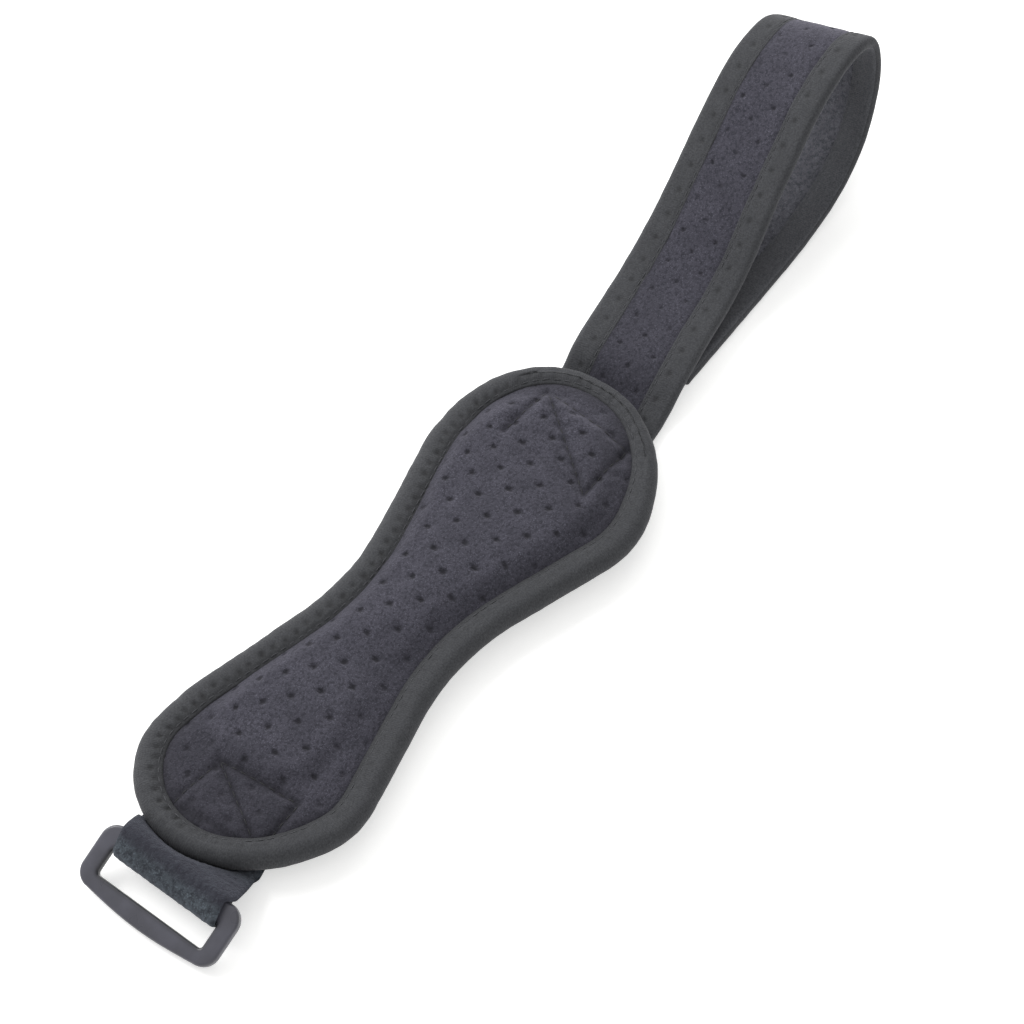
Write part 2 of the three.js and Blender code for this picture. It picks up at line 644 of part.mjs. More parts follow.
function piece(name, geometry, colour, roughness) {
  geometry.computeVertexNormals();
  const material = new THREE.MeshStandardMaterial({ color: colour, roughness, metalness: 0 });
  const mesh = new THREE.Mesh(geometry, material);
  mesh.name = name;
  return mesh;
}

function buckleMesh() {
  const mesh = piece('buckle', buckle(), 0x55565b, 0.42);
  mesh.rotation.y = -LEAN;
  mesh.position.set(BUCKLE_ROOT.x, BUCKLE_SHIFT, BUCKLE_ROOT.z);
  return mesh;
}

const TAPE_COLOUR = 0x434441;
const CLOTH_COLOUR = 0x4a4852;

const support = new THREE.Group();
support.add(
  piece('pad_cushion', padCushion(), CLOTH_COLOUR, 0.95),
  piece('pad_binding', padBinding(), TAPE_COLOUR, 0.9),
  piece('strap_panel', strapPanel(), CLOTH_COLOUR, 0.95),
  piece('strap_binding_left', strapBinding(1), TAPE_COLOUR, 0.9),
  piece('strap_binding_right', strapBinding(-1), TAPE_COLOUR, 0.9),
  piece('hook_patch', hookPatch(), 0x3a3b40, 0.8),
  piece('buckle_webbing', buckleTape(), 0x2f3439, 0.97),
  buckleMesh(),
);

export default support;
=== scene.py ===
"""Dresses the patella knee support: a perforated cloth pad, its bound edge, a folded strap and a ring buckle.

Sizes are in millimetres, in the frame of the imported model, and are turned to metres where a mesh is made.
The pad lies along X with its cloth front up, and the strap leaves it toward +X and folds back on itself.
"""

import logging
import math
from dataclasses import dataclass, field
from enum import Enum

import bmesh
import bpy
import numpy as np
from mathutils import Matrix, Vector


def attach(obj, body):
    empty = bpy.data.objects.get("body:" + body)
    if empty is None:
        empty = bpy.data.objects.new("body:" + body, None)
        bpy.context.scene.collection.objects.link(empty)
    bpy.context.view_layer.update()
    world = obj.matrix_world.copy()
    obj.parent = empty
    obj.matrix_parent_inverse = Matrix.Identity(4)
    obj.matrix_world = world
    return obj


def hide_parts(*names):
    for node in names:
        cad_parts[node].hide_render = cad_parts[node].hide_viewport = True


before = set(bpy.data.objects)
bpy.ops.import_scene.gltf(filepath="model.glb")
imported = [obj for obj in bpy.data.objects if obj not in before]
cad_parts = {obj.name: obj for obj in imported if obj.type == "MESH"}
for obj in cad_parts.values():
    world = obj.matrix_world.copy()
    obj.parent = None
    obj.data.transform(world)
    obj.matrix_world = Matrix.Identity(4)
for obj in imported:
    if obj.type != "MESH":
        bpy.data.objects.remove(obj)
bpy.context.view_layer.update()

log = logging.getLogger("knee_support")

MM = 0.001


class Lobe(Enum):
    """The pad's two round ends, by the way they lie from its middle."""

    STRAP = 1
    BUCKLE = -1


class Side(Enum):
    """The strap's two long edges, by the way they lie across it."""

    LEFT = 1
    RIGHT = -1


# Small helpers


def linear(colour: str) -> tuple[float, float, float, float]:
    """Turns an sRGB hex colour into a linear one.

    Args:
        colour: The colour as "#rrggbb".

    Returns:
        Red, green, blue and full opacity, linear.
    """
    shares = [int(colour[i : i + 2], 16) / 255 for i in (1, 3, 5)]
    red, green, blue = [s / 12.92 if s <= 0.04045 else ((s + 0.055) / 1.055) ** 2.4 for s in shares]
    return red, green, blue, 1.0


def node(
    tree: bpy.types.NodeTree, kind: str, inputs: dict | None = None, **settings: object
) -> bpy.types.Node:
    """Adds a node with its settings and links.

    Args:
        tree: The node tree that gets the node.
        kind: Blender's name for the kind of node.
        inputs: Sockets to fill, by name or number. An output socket is linked and any other value is set.
        settings: Attributes of the node itself.

    Returns:
        The new node.
    """
    made = tree.nodes.new(kind)
    for name, value in settings.items():
        setattr(made, name, value)
    for key, value in (inputs or {}).items():
        if isinstance(value, bpy.types.NodeSocket):
            tree.links.new(value, made.inputs[key])
        else:
            made.inputs[key].default_value = value
    return made


def smooth(values: np.ndarray, place: np.ndarray) -> np.ndarray:
    """Reads a smooth curve through even values, held level past its ends as in the solids.

    Args:
        values: The values, one a row.
        place: Where to read, counted in rows.

    Returns:
        One value for each place.
    """
    last = len(values) - 1
    start = np.clip(np.floor(place).astype(int), 0, last - 1)
    t = place - start
    if values.ndim > 1:
        t = t[:, None]
    a, b, c, d = (values[np.clip(start + k, 0, last)] for k in (-1, 0, 1, 2))
    return 0.5 * (2 * b + (c - a) * t + (2 * a - 5 * b + 4 * c - d) * t**2 + (3 * b - 3 * c + d - a) * t**3)


def ripple(points: np.ndarray, length: float, seed: int) -> np.ndarray:
    """A soft random swell in the plane, from a few crossed waves.

    Args:
        points: Places, with two columns.
        length: The wavelength in the same unit.
        seed: Fixes the waves.

    Returns:
        Values of about -1 to 1, one for each place.
    """
    random = np.random.default_rng(seed)
    total = np.zeros(len(points))
    waves = 7
    for _ in range(waves):
        angle, phase = random.uniform(0, 2 * math.pi, 2)
        stretch = random.uniform(0.7, 1.5)
        way = np.array([math.cos(angle), math.sin(angle)])
        total += np.sin(points @ way * 2 * math.pi / (length * stretch) + phase)
    return total / math.sqrt(waves * 2)


def edge_distance(points: np.ndarray, edge: np.ndarray) -> np.ndarray:
    """Distance from a closed line in the plan.

    Args:
        points: Places in the plan.
        edge: The line's corners in order.

    Returns:
        One distance for each place, more than 0 inside the line.
    """
    after = np.roll(edge, -1, 0)
    nearest = np.full(len(points), np.inf)
    inside = np.zeros(len(points), dtype=bool)
    for a, b in zip(edge, after):
        way = b - a
        share = np.clip((points - a) @ way / (way @ way), 0, 1)
        nearest = np.minimum(nearest, np.hypot(*(points - a - share[:, None] * way).T))
        crosses = (a[1] > points[:, 1]) != (b[1] > points[:, 1])
        inside ^= crosses & (points[:, 0] < way[0] * (points[:, 1] - a[1]) / (way[1] or 1e-9) + a[0])
    return np.where(inside, nearest, -nearest)


def eased(values: np.ndarray, low: float, high: float) -> np.ndarray:
    """Goes smoothly from 0 at low to 1 at high."""
    t = np.clip((values - low) / (high - low), 0, 1)
    return t * t * (3 - 2 * t)


def grid_faces(rows: int, columns: int, loop_rows: bool, loop_columns: bool) -> np.ndarray:
    """Quads of a grid of points stored row by row.

    Args:
        rows: The number of rows.
        columns: The number of points in a row.
        loop_rows: Whether the last row joins the first.
        loop_columns: Whether the last point of a row joins its first.

    Returns:
        Four point numbers for each quad.
    """
    quad_rows, quad_columns = rows - (not loop_rows), columns - (not loop_columns)
    i, j = np.meshgrid(np.arange(quad_rows), np.arange(quad_columns), indexing="ij")
    i, j = i.ravel(), j.ravel()
    after, beside = (i + 1) % rows, (j + 1) % columns
    return np.stack([i * columns + j, i * columns + beside, after * columns + beside, after * columns + j], 1)


@dataclass
class Shell:
    """Points and faces on their way to a Blender mesh, with what the materials read from each point."""

    points: np.ndarray
    faces: list
    cloth: np.ndarray | None = None
    shade: np.ndarray | None = None  # 0 as dyed to 1 in full shadow
    punched: np.ndarray | None = None  # how open the holes are
    second: list | None = None  # the number of each face's finish

    def build(self, name: str, finishes: list) -> bpy.types.Object:
        """Makes the Blender object.

        Args:
            name: The object's name.
            finishes: Its materials. Each face takes the one that second names, or else the first.

        Returns:
            The new object, smooth shaded.
        """
        mesh = bpy.data.meshes.new(name)
        mesh.from_pydata((self.points * MM).tolist(), [], [list(map(int, face)) for face in self.faces])
        for finish in finishes:
            mesh.materials.append(finish)
        if self.second is not None:
            mesh.polygons.foreach_set("material_index", np.asarray(self.second, dtype=np.int32))
        if self.cloth is not None:
            loops = np.empty(len(mesh.loops), dtype=np.int32)
            mesh.loops.foreach_get("vertex_index", loops)
            layer = mesh.uv_layers.new(name="cloth_mm")
            layer.data.foreach_set("uv", self.cloth[loops].astype(np.float32).ravel())
        for title, values in (("shade", self.shade), ("punched", self.punched)):
            layer = mesh.attributes.new(title, "FLOAT", "POINT")
            values = np.zeros(len(self.points)) if values is None else values
            layer.data.foreach_set("value", values.astype(np.float32))
        mesh.polygons.foreach_set("use_smooth", np.ones(len(mesh.polygons), dtype=bool))
        mesh.update()
        made = bpy.data.objects.new(name, mesh)
        bpy.context.scene.collection.objects.link(made)
        return made


def facing_out(made: bpy.types.Object) -> bpy.types.Object:
    """Turns a closed mesh's faces outward.

    Args:
        made: The object that holds the mesh.

    Returns:
        The same object.
    """
    body = bmesh.new()
    body.from_mesh(made.data)
    bmesh.ops.recalc_face_normals(body, faces=body.faces)
    body.to_mesh(made.data)
    body.free()
    return made


# Finishes


def principled(name: str) -> tuple[bpy.types.Material, bpy.types.NodeTree, bpy.types.Node]:
    """Starts a node material.

    Args:
        name: The material's name.

    Returns:
        The material, its node tree and its shader.
    """
    material = bpy.data.materials.new(name)
    material.use_nodes = True
    tree = material.node_tree
    shader = tree.nodes["Principled BSDF"]
    return material, tree, shader


def blended(tree: bpy.types.NodeTree, factor: object, low: object, high: object) -> bpy.types.NodeSocket:
    """Mixes two colours.

    Args:
        tree: The node tree.
        factor: How much of the second colour shows, as a number or a socket.
        low: The first colour, as hex or as a socket.
        high: The second colour, as hex or as a socket.

    Returns:
        The mixed colour's socket.
    """
    ends = [linear(end) if isinstance(end, str) else end for end in (low, high)]
    # The node keeps its colours in inputs 6 and 7 and the mixed colour in output 2
    mix = node(tree, "ShaderNodeMix", {0: factor, 6: ends[0], 7: ends[1]}, data_type="RGBA")
    return mix.outputs[2]


def ranged(
    tree: bpy.types.NodeTree, value: object, low: float, high: float, to: tuple = (0, 1)
) -> bpy.types.NodeSocket:
    """Maps a range of values smoothly on to another, held at its ends, and returns the socket."""
    inputs = {"Value": value, "From Min": low, "From Max": high, "To Min": to[0], "To Max": to[1]}
    return node(tree, "ShaderNodeMapRange", inputs, interpolation_type="SMOOTHSTEP").outputs[0]


def times(
    tree: bpy.types.NodeTree, first: object, second: object, operation: str = "MULTIPLY"
) -> bpy.types.NodeSocket:
    """Multiplies two values, or joins them by another operation, and returns the socket."""
    return node(tree, "ShaderNodeMath", {0: first, 1: second}, operation=operation).outputs[0]


def grain(
    tree: bpy.types.NodeTree, size: float, detail: float = 2.0, rough: float = 0.5
) -> bpy.types.NodeSocket:
    """Adds noise, read in the object's own frame.

    Args:
        tree: The node tree.
        size: How far across its features are, in millimetres.
        detail: How many finer layers it has.
        rough: How strong those layers are.

    Returns:
        The socket of the noise's value.
    """
    place = node(tree, "ShaderNodeTexCoord").outputs["Object"]
    inputs = {"Vector": place, "Scale": 1 / (size * MM), "Detail": detail, "Roughness": rough}
    return node(tree, "ShaderNodeTexNoise", inputs).outputs["Fac"]


@dataclass(frozen=True)
class BrushedCloth:
    """Brushed polyester knit laminated to foam, punched with round holes.

    Brushing lifts a short nap from the loops, so the eye sees a dull dark violet grey full of fine light
    and dark specks, with pale fibre ends where it catches the light, and soft-edged holes.
    """

    name: str
    pitch: float
    hole: float = 1.3
    colour: str = "#414049"
    dark: str = "#2b2b32"
    pale: str = "#6b6a76"
    # the painted shade in the holes and folds mixes toward this
    hollow: str = "#17171b"
    nap: float = 1.0  # width of a tuft of nap

    def build(self) -> bpy.types.Material:
        """Makes the material, whose holes follow the cloth's own millimetres.

        Returns:
            The finished material.
        """
        material, tree, shader = principled(self.name)
        flat = node(tree, "ShaderNodeUVMap", uv_map="cloth_mm").outputs[0]
        waves = {"Vector": flat, "Scale": 0.9, "Detail": 1.0}
        wander = node(tree, "ShaderNodeTexNoise", waves, noise_dimensions="2D")
        centred = {0: wander.outputs["Color"], 1: (0.5, 0.5, 0.5)}
        shift = node(tree, "ShaderNodeVectorMath", centred, operation="SUBTRACT")
        nudged = {0: shift.outputs[0], 1: (1.1, 1.1, 0), 2: flat}
        moved = node(tree, "ShaderNodeVectorMath", nudged, operation="MULTIPLY_ADD")
        high, low = (self.pitch / 2,) * 3, (-self.pitch / 2,) * 3
        cell = node(tree, "ShaderNodeVectorMath", {0: moved.outputs[0], 1: high, 2: low}, operation="WRAP")
        plane = node(tree, "ShaderNodeVectorMath", {0: cell.outputs[0], 1: (1, 1, 0)}, operation="MULTIPLY")
        reach = node(tree, "ShaderNodeVectorMath", {0: plane.outputs[0]}, operation="LENGTH").outputs["Value"]
        # Painted shade: the shade attribute darkens folds, seams and stitch lines, and each hole is darkened
        # toward the hollow colour
        dent = node(tree, "ShaderNodeAttribute", attribute_name="shade").outputs["Fac"]
        punched = node(tree, "ShaderNodeAttribute", attribute_name="punched").outputs["Fac"]
        hollow = times(tree, ranged(tree, reach, self.hole * 0.2, self.hole * 1.3, (1, 0)), punched)
        tufts = grain(tree, self.nap, 3.0, 0.65)
        clumps = grain(tree, self.nap * 9, 2.0)
        fibres = grain(tree, self.nap * 0.45, 2.0, 0.7)
        ground = blended(tree, ranged(tree, tufts, 0.32, 0.6), self.dark, self.colour)
        napped = blended(tree, ranged(tree, fibres, 0.52, 0.74, (0, 0.55)), ground, self.pale)
        patchy = blended(tree, ranged(tree, clumps, 0.3, 0.75, (0, 0.3)), napped, self.dark)
        fold_shaded = blended(tree, times(tree, dent, 0.75), patchy, self.hollow)
        colour = blended(tree, hollow, fold_shaded, self.hollow)
        tree.links.new(colour, shader.inputs["Base Color"])
        height = times(tree, times(tree, tufts, 0.7), times(tree, fibres, 0.4), "ADD")
        sunk = times(tree, height, times(tree, hollow, 1.1), "SUBTRACT")
        bump = node(tree, "ShaderNodeBump", {"Height": sunk, "Strength": 0.75, "Distance": 0.35 * MM})
        tree.links.new(bump.outputs[0], shader.inputs["Normal"])
        shader.inputs["Roughness"].default_value = 0.95
        shader.inputs["IOR"].default_value = 1.53
        shader.inputs["Specular IOR Level"].default_value = 0.2
        shader.inputs["Sheen Weight"].default_value = 0.35
        shader.inputs["Sheen Roughness"].default_value = 0.5
        shader.inputs["Sheen Tint"].default_value = linear("#b9b6c6")
        return material


@dataclass(frozen=True)
class BindingTape:
    """Stretch nylon binding, warp knitted, folded over the raw edge and sewn down.

    The knit is fine and flat, so the eye sees a smooth neutral dark grey that takes a soft light along its
    fold, with hair-fine ribs across it. The ribs are drawn 0.7 mm apart, about twice their real spacing,
    because finer ones would not show.
    """

    name: str = "warp_knit_nylon_binding"
    colour: str = "#434447"
    dark: str = "#333437"
    pale: str = "#5d5e63"
    # the painted shade mixes toward this
    hollow: str = "#161616"
    rib: float = 0.7

    def build(self) -> bpy.types.Material:
        """Makes the material, whose ribs lie across the tape.

        Returns:
            The finished material.
        """
        material, tree, shader = principled(self.name)
        flat = node(tree, "ShaderNodeUVMap", uv_map="cloth_mm").outputs[0]
        waves = {"Vector": flat, "Scale": 0.25, "Detail": 2.0}
        wander = node(tree, "ShaderNodeTexNoise", waves, noise_dimensions="2D")
        along = node(tree, "ShaderNodeSeparateXYZ", {0: flat}).outputs[0]
        bent = times(tree, times(tree, wander.outputs["Fac"], 1.6), along, "ADD")
        wave = times(tree, times(tree, bent, 2 * math.pi / self.rib), 0.0, "SINE")
        fuzz = grain(tree, 0.6, 3.0, 0.7)
        clumps = grain(tree, 7.0, 2.0)
        shade = node(tree, "ShaderNodeAttribute", attribute_name="shade").outputs["Fac"]
        ground = blended(tree, ranged(tree, fuzz, 0.3, 0.65), self.dark, self.colour)
        lit = blended(tree, ranged(tree, fuzz, 0.6, 0.8, (0, 0.4)), ground, self.pale)
        patchy = blended(tree, ranged(tree, clumps, 0.35, 0.7, (0, 0.25)), lit, self.dark)
        # Painted shade: the shade attribute darkens the tape toward its hollow colour
        colour = blended(tree, times(tree, shade, 0.8), patchy, self.hollow)
        tree.links.new(colour, shader.inputs["Base Color"])
        height = times(tree, times(tree, wave, 0.18), times(tree, fuzz, 0.7), "ADD")
        bump = node(tree, "ShaderNodeBump", {"Height": height, "Strength": 0.55, "Distance": 0.25 * MM})
        tree.links.new(bump.outputs[0], shader.inputs["Normal"])
        shader.inputs["Roughness"].default_value = 0.86
        shader.inputs["IOR"].default_value = 1.53
        shader.inputs["Specular IOR Level"].default_value = 0.3
        shader.inputs["Sheen Weight"].default_value = 0.14
        shader.inputs["Sheen Roughness"].default_value = 0.4
        shader.inputs["Sheen Tint"].default_value = linear("#c6c6cc")
        return material


@dataclass(frozen=True)
class LoopPile:
    """Napped loop tape, knitted with long loops that hooks catch in.

    The loops lie every way, so the eye sees a mottled blue-black pile with darker hollows between clumps
    and no straight threads.
    """

    name: str = "napped_loop_pile"
    colour: str = "#3e4247"
    dark: str = "#2a2d32"
    pale: str = "#636b72"
    # the painted shade mixes toward this
    hollow: str = "#131416"
    clump: float = 1.7

    def build(self) -> bpy.types.Material:
        """Makes the material.

        Returns:
            The finished material.
        """
        material, tree, shader = principled(self.name)
        clumps = grain(tree, self.clump, 4.0, 0.65)
        loops = grain(tree, self.clump * 0.35, 3.0, 0.7)
        patches = grain(tree, self.clump * 6, 2.0)
        shade = node(tree, "ShaderNodeAttribute", attribute_name="shade").outputs["Fac"]
        ground = blended(tree, ranged(tree, clumps, 0.34, 0.62), self.dark, self.colour)
        lit = blended(tree, ranged(tree, loops, 0.5, 0.75, (0, 0.7)), ground, self.pale)
        patchy = blended(tree, ranged(tree, patches, 0.35, 0.7, (0, 0.35)), lit, self.dark)
        # Painted shade: the shade attribute darkens the pile toward its hollow colour
        colour = blended(tree, times(tree, shade, 0.7), patchy, self.hollow)
        tree.links.new(colour, shader.inputs["Base Color"])
        height = times(tree, clumps, times(tree, loops, 0.6), "ADD")
        bump = node(tree, "ShaderNodeBump", {"Height": height, "Strength": 0.9, "Distance": 0.6 * MM})
        tree.links.new(bump.outputs[0], shader.inputs["Normal"])
        shader.inputs["Roughness"].default_value = 0.97
        shader.inputs["IOR"].default_value = 1.53
        shader.inputs["Specular IOR Level"].default_value = 0.15
        shader.inputs["Sheen Weight"].default_value = 0.28
        shader.inputs["Sheen Roughness"].default_value = 0.55
        shader.inputs["Sheen Tint"].default_value = linear("#b0b4c0")
        return material


@dataclass(frozen=True)
class MouldedAcetal:
    """Injection-moulded acetal, its mould faintly spark-textured.

    The fine texture turns each highlight into a soft satin band along the bars. The slot's edges are painted
    darker, as painted shade.
    """

    name: str = "moulded_acetal"
    colour: str = "#46464d"
    pale: str = "#4c4c55"
    # the painted shade at the slot's edges mixes toward this
    slot: str = "#1a1a1d"
    spark: float = 0.45  # grit of the mould's face

    def build(self) -> bpy.types.Material:
        """Makes the material.

        Returns:
            The finished material.
        """
        material, tree, shader = principled(self.name)
        grit = grain(tree, self.spark, 2.0)
        flow = grain(tree, 9.0, 2.0)
        shade = node(tree, "ShaderNodeAttribute", attribute_name="shade").outputs["Fac"]
        face = blended(tree, ranged(tree, flow, 0.35, 0.7), self.colour, self.pale)
        # Painted shade: the shade attribute darkens the slot's edges
        tree.links.new(blended(tree, times(tree, shade, 0.75), face, self.slot), shader.inputs["Base Color"])
        tree.links.new(ranged(tree, flow, 0.3, 0.7, (0.26, 0.38)), shader.inputs["Roughness"])
        bump = node(tree, "ShaderNodeBump", {"Height": grit, "Strength": 0.25, "Distance": 0.06 * MM})
        tree.links.new(bump.outputs[0], shader.inputs["Normal"])
        shader.inputs["IOR"].default_value = 1.48
        shader.inputs["Specular IOR Level"].default_value = 0.5
        return material


@dataclass(frozen=True)
class HookTape:
    """Moulded nylon hook tape: rows of tiny hooks on a dark backing.

    The hooks stand in a grid about 1.5 mm apart, so the eye sees a rough dark field with small glints.
    """

    name: str = "moulded_nylon_hooks"
    colour: str = "#26272b"
    pale: str = "#54565e"
    row: float = 1.5

    def build(self) -> bpy.types.Material:
        """Makes the material.

        Returns:
            The finished material.
        """
        material, tree, shader = principled(self.name)
        place = node(tree, "ShaderNodeTexCoord").outputs["Object"]
        cells = {"Vector": place, "Scale": 1 / (self.row * MM), "Randomness": 0.15}
        hooks = node(tree, "ShaderNodeTexVoronoi", cells).outputs["Distance"]
        stem = ranged(tree, hooks, 0.15, 0.45, (1, 0))
        tree.links.new(blended(tree, stem, self.colour, self.pale), shader.inputs["Base Color"])
        bump = node(tree, "ShaderNodeBump", {"Height": stem, "Strength": 1.0, "Distance": 0.8 * MM})
        tree.links.new(bump.outputs[0], shader.inputs["Normal"])
        shader.inputs["Roughness"].default_value = 0.6
        shader.inputs["IOR"].default_value = 1.53
        return material


@dataclass(frozen=True)
class SewingThread:
    """Spun polyester sewing thread, twisted from plies.

    By default it is near black, darker than the cloth, as painted shade along the stitch grooves, and the
    twist gives it fine slanted lights.
    """

    name: str = "spun_polyester_thread"
    colour: str = "#161618"
    pale: str = "#222226"

    def build(self) -> bpy.types.Material:
        """Makes the material.

        Returns:
            The finished material.
        """
        material, tree, shader = principled(self.name)
        plies = grain(tree, 0.35, 1.0)
        colour = blended(tree, ranged(tree, plies, 0.4, 0.7), self.colour, self.pale)
        tree.links.new(colour, shader.inputs["Base Color"])
        bump = node(tree, "ShaderNodeBump", {"Height": plies, "Strength": 0.5, "Distance": 0.1 * MM})
        tree.links.new(bump.outputs[0], shader.inputs["Normal"])
        shader.inputs["Roughness"].default_value = 0.7
        shader.inputs["IOR"].default_value = 1.53
        shader.inputs["Sheen Weight"].default_value = 0.05
        return material


@dataclass(frozen=True)
class StudioBoard:
    """Cast opal acrylic with a matt face, lit softly from below, so that shadows on it stay faint."""

    name: str = "opal_acrylic_sheet"
    colour: str = "#f6f6f5"
    dark: str = "#f4f4f3"
    glow: float = 0.5  # light that comes up through the sheet

    def build(self) -> bpy.types.Material:
        """Makes the material.

        Returns:
            The finished material.
        """
        material, tree, shader = principled(self.name)
        fibre = grain(tree, 4.0, 3.0)
        colour = blended(tree, ranged(tree, fibre, 0.2, 0.8), self.dark, self.colour)
        tree.links.new(colour, shader.inputs["Base Color"])
        shader.inputs["Roughness"].default_value = 0.9
        shader.inputs["IOR"].default_value = 1.5
        shader.inputs["Specular IOR Level"].default_value = 0.1
        shader.inputs["Emission Color"].default_value = linear(self.colour)
        shader.inputs["Emission Strength"].default_value = self.glow
        return material


class Wardrobe:
    """Every finish, built once."""

    def __init__(self) -> None:
        """Builds the materials."""
        self.pad_cloth = BrushedCloth("brushed_knit_pad", pitch=PadPlan.hole_pitch).build()
        self.strap_cloth = BrushedCloth("brushed_knit_strap", pitch=StrapPath.hole_pitch, hole=0.95).build()
        self.binding = BindingTape().build()
        # Painted light: a lighter copy of the binding for the strap binding's back faces, which lie in shade
        # inside the loop
        self.binding_back_painted_light = BindingTape("warp_knit_nylon_back_painted_light", "#57585c", "#434448", "#72737a").build()
        # The tape's hollow colour is the purple grey that its painted shade mixes toward
        self.pile = LoopPile(colour="#454b51", pale="#6c767f", hollow="#2a2831").build()
        # The strap's real napped loop back, coloured lighter than it is as painted light on the shaded inside
        # of the loop; the pad's hidden back takes it too
        self.lining_painted_light = LoopPile(
            name="napped_strap_back_painted_light", colour="#626269", dark="#46474c", pale="#85858e", clump=1.4
        ).build()
        self.plastic = MouldedAcetal().build()
        self.hooks = HookTape().build()
        # Painted shade: the box stitches take the near-black default thread, darker than the real thread
        self.thread = SewingThread().build()
        self.edge_thread = SewingThread("edging_thread", "#35363a", "#45464a").build()
        self.card = StudioBoard().build()


# The pad


@dataclass(frozen=True)
class PadPlan:
    """The pad's plan and thickness.

    The outline, the binding and the edge have the same sizes as the solids. The front's swell, the foam
    core's step and the rows of holes are its own. The two shapes hold how far out each lobe reaches, as
    shares of its radius. They and the outline's other sizes come from a fit to the photograph.
    """

    spacing: float = 128.8
    strap_radius: float = 38.6
    buckle_radius: float = 36.7
    strap_shape: tuple = (0.992, 0.982, 1.043, 1.131, 1.162, 1.07, 0.98)
    buckle_shape: tuple = (0.997, 0.961, 0.988, 1.049, 1.074, 1.044, 0.953)
    waist_width: float = 48.5
    waist_shift: float = -1.3
    strap_flanks: tuple = (34.13, 32.42)
    buckle_flanks: tuple = (39.02, 33.66)
    band: float = 9.6
    strap_tip_band: float = 7.2
    buckle_tip_band: float = 8.4
    edge_thick: float = 8.4
    seam_drop: float = 1.3
    seam_swell: float = 1.5
    swell_run: float = 7.0
    core_rise: float = 2.6  # the foam core lifts the middle of the cloth by this
    core_slope: float = 4.0
    core_edge: tuple = (
        (92, 16), (80, 25), (64, 28), (48, 25), (34, 20), (16, 15.5), (0, 13.5), (-15, 14), (-30, 17),
        (-45, 20), (-60, 21), (-69, 14), (-72, 4), (-70, -8), (-62, -14), (-48, -14.5), (-34, -11.5),
        (-16, -8.5), (4, -9), (20, -13), (36, -18), (52, -22), (68, -23), (82, -17), (92, -6),
    )
    hole_pitch: float = 9.0
    hole_margin: float = 1.6
    warp_span: float = 50.0  # the warp counts x and y in these
    # Weights of a cubic's terms. They are the output of a least-squares fit to the holes in the
    # photograph, made by another script, and weren't set by hand.
    cloth_warp: tuple = (
        (0.321, -0.2287), (-2.9668, 4.0902), (-0.6109, 0.4151), (-2.3125, 0.318), (4.4031, 3.6861),
        (0.1567, 0.0475), (0.231, 0.1102), (-0.0027, 0.0509), (-0.0114, 0.1239), (0.0015, -0.0022),
    )

    def quarter(self, lobe: Lobe, upward: bool) -> np.ndarray:
        """One quarter of the outline, from a lobe's tip to the waist.

        Args:
            lobe: The lobe that it starts on.
            upward: Whether it takes the +Y side.

        Returns:
            Rows of x, y, inward x, inward y and the binding's width.
        """
        strap = lobe is Lobe.STRAP
        radius = self.strap_radius if strap else self.buckle_radius
        tip_band = self.strap_tip_band if strap else self.buckle_tip_band
        shape = np.array(self.strap_shape if strap else self.buckle_shape)
        shape = shape if upward else shape[::-1]
        middle = (len(shape) - 1) / 2
        side = radius * shape[-1]
        run = abs(lobe.value * self.spacing / 2 - self.waist_shift)
        waist = self.waist_width / 2
        straight_edge = (self.strap_flanks if strap else self.buckle_flanks)[0 if upward else 1]
        waist_radius = (run**2 + waist**2 - side**2 - straight_edge**2) / (2 * (side - waist))
        waist_y = waist + waist_radius
        flank = math.atan2(run, waist_y) - math.acos((side + waist_radius) / math.hypot(run, waist_y))
        angle = np.linspace(0, math.pi / 2 + flank, 120)
        place = np.minimum(middle + angle / (math.pi / 2) * middle, len(shape) - 1)
        reach = radius * smooth(shape, place)
        out = np.stack([np.cos(angle), np.sin(angle)], 1)
        band = self.band + (tip_band - self.band) * np.maximum(out[:, 0], 0) ** 2
        round_part = np.column_stack([out * reach[:, None], -out, band])
        inward = np.array([math.sin(flank), -math.cos(flank)])
        centre = np.array([-run, waist_y])
        start, end = round_part[-1, :2], centre + inward * waist_radius
        share = np.linspace(0, 1, 30)[1:, None]
        inwards, bands = np.tile(inward, (len(share), 1)), np.full(len(share), self.band)
        straight = np.column_stack([start + (end - start) * share, inwards, bands])
        turn = flank * (1 - np.linspace(0, 1, 20)[1:])
        way = np.stack([np.sin(turn), -np.cos(turn)], 1)
        curve = np.column_stack([centre + way * waist_radius, way, np.full(len(turn), self.band)])
        rows = np.concatenate([round_part, straight, curve])
        facing = lobe.value
        rows[:, 0] = facing * (self.spacing / 2 + rows[:, 0])
        rows[:, 2] *= facing
        if not upward:
            rows[:, [1, 3]] *= -1
        return rows

    def outline(self, step: float) -> np.ndarray:
        """The whole outline at even steps, anticlockwise from the strap's tip.

        Args:
            step: The wanted distance between stations.

        Returns:
            Rows of x, y, inward x, inward y, the binding's width and the distance along.
        """
        rows = np.concatenate([
            self.quarter(Lobe.STRAP, True)[:-1],
            self.quarter(Lobe.BUCKLE, True)[::-1],
            self.quarter(Lobe.BUCKLE, False)[1:-1],
            self.quarter(Lobe.STRAP, False)[::-1],
        ])
        lengths = np.concatenate([[0], np.cumsum(np.hypot(*np.diff(rows[:, :2], axis=0).T))])
        count = int(lengths[-1] / step)
        wanted = np.arange(count) * lengths[-1] / count
        even = np.column_stack([np.interp(wanted, lengths, rows[:, k]) for k in range(rows.shape[1])])
        even[:, 2:4] /= np.linalg.norm(even[:, 2:4], axis=1)[:, None]
        return np.column_stack([even, wanted])

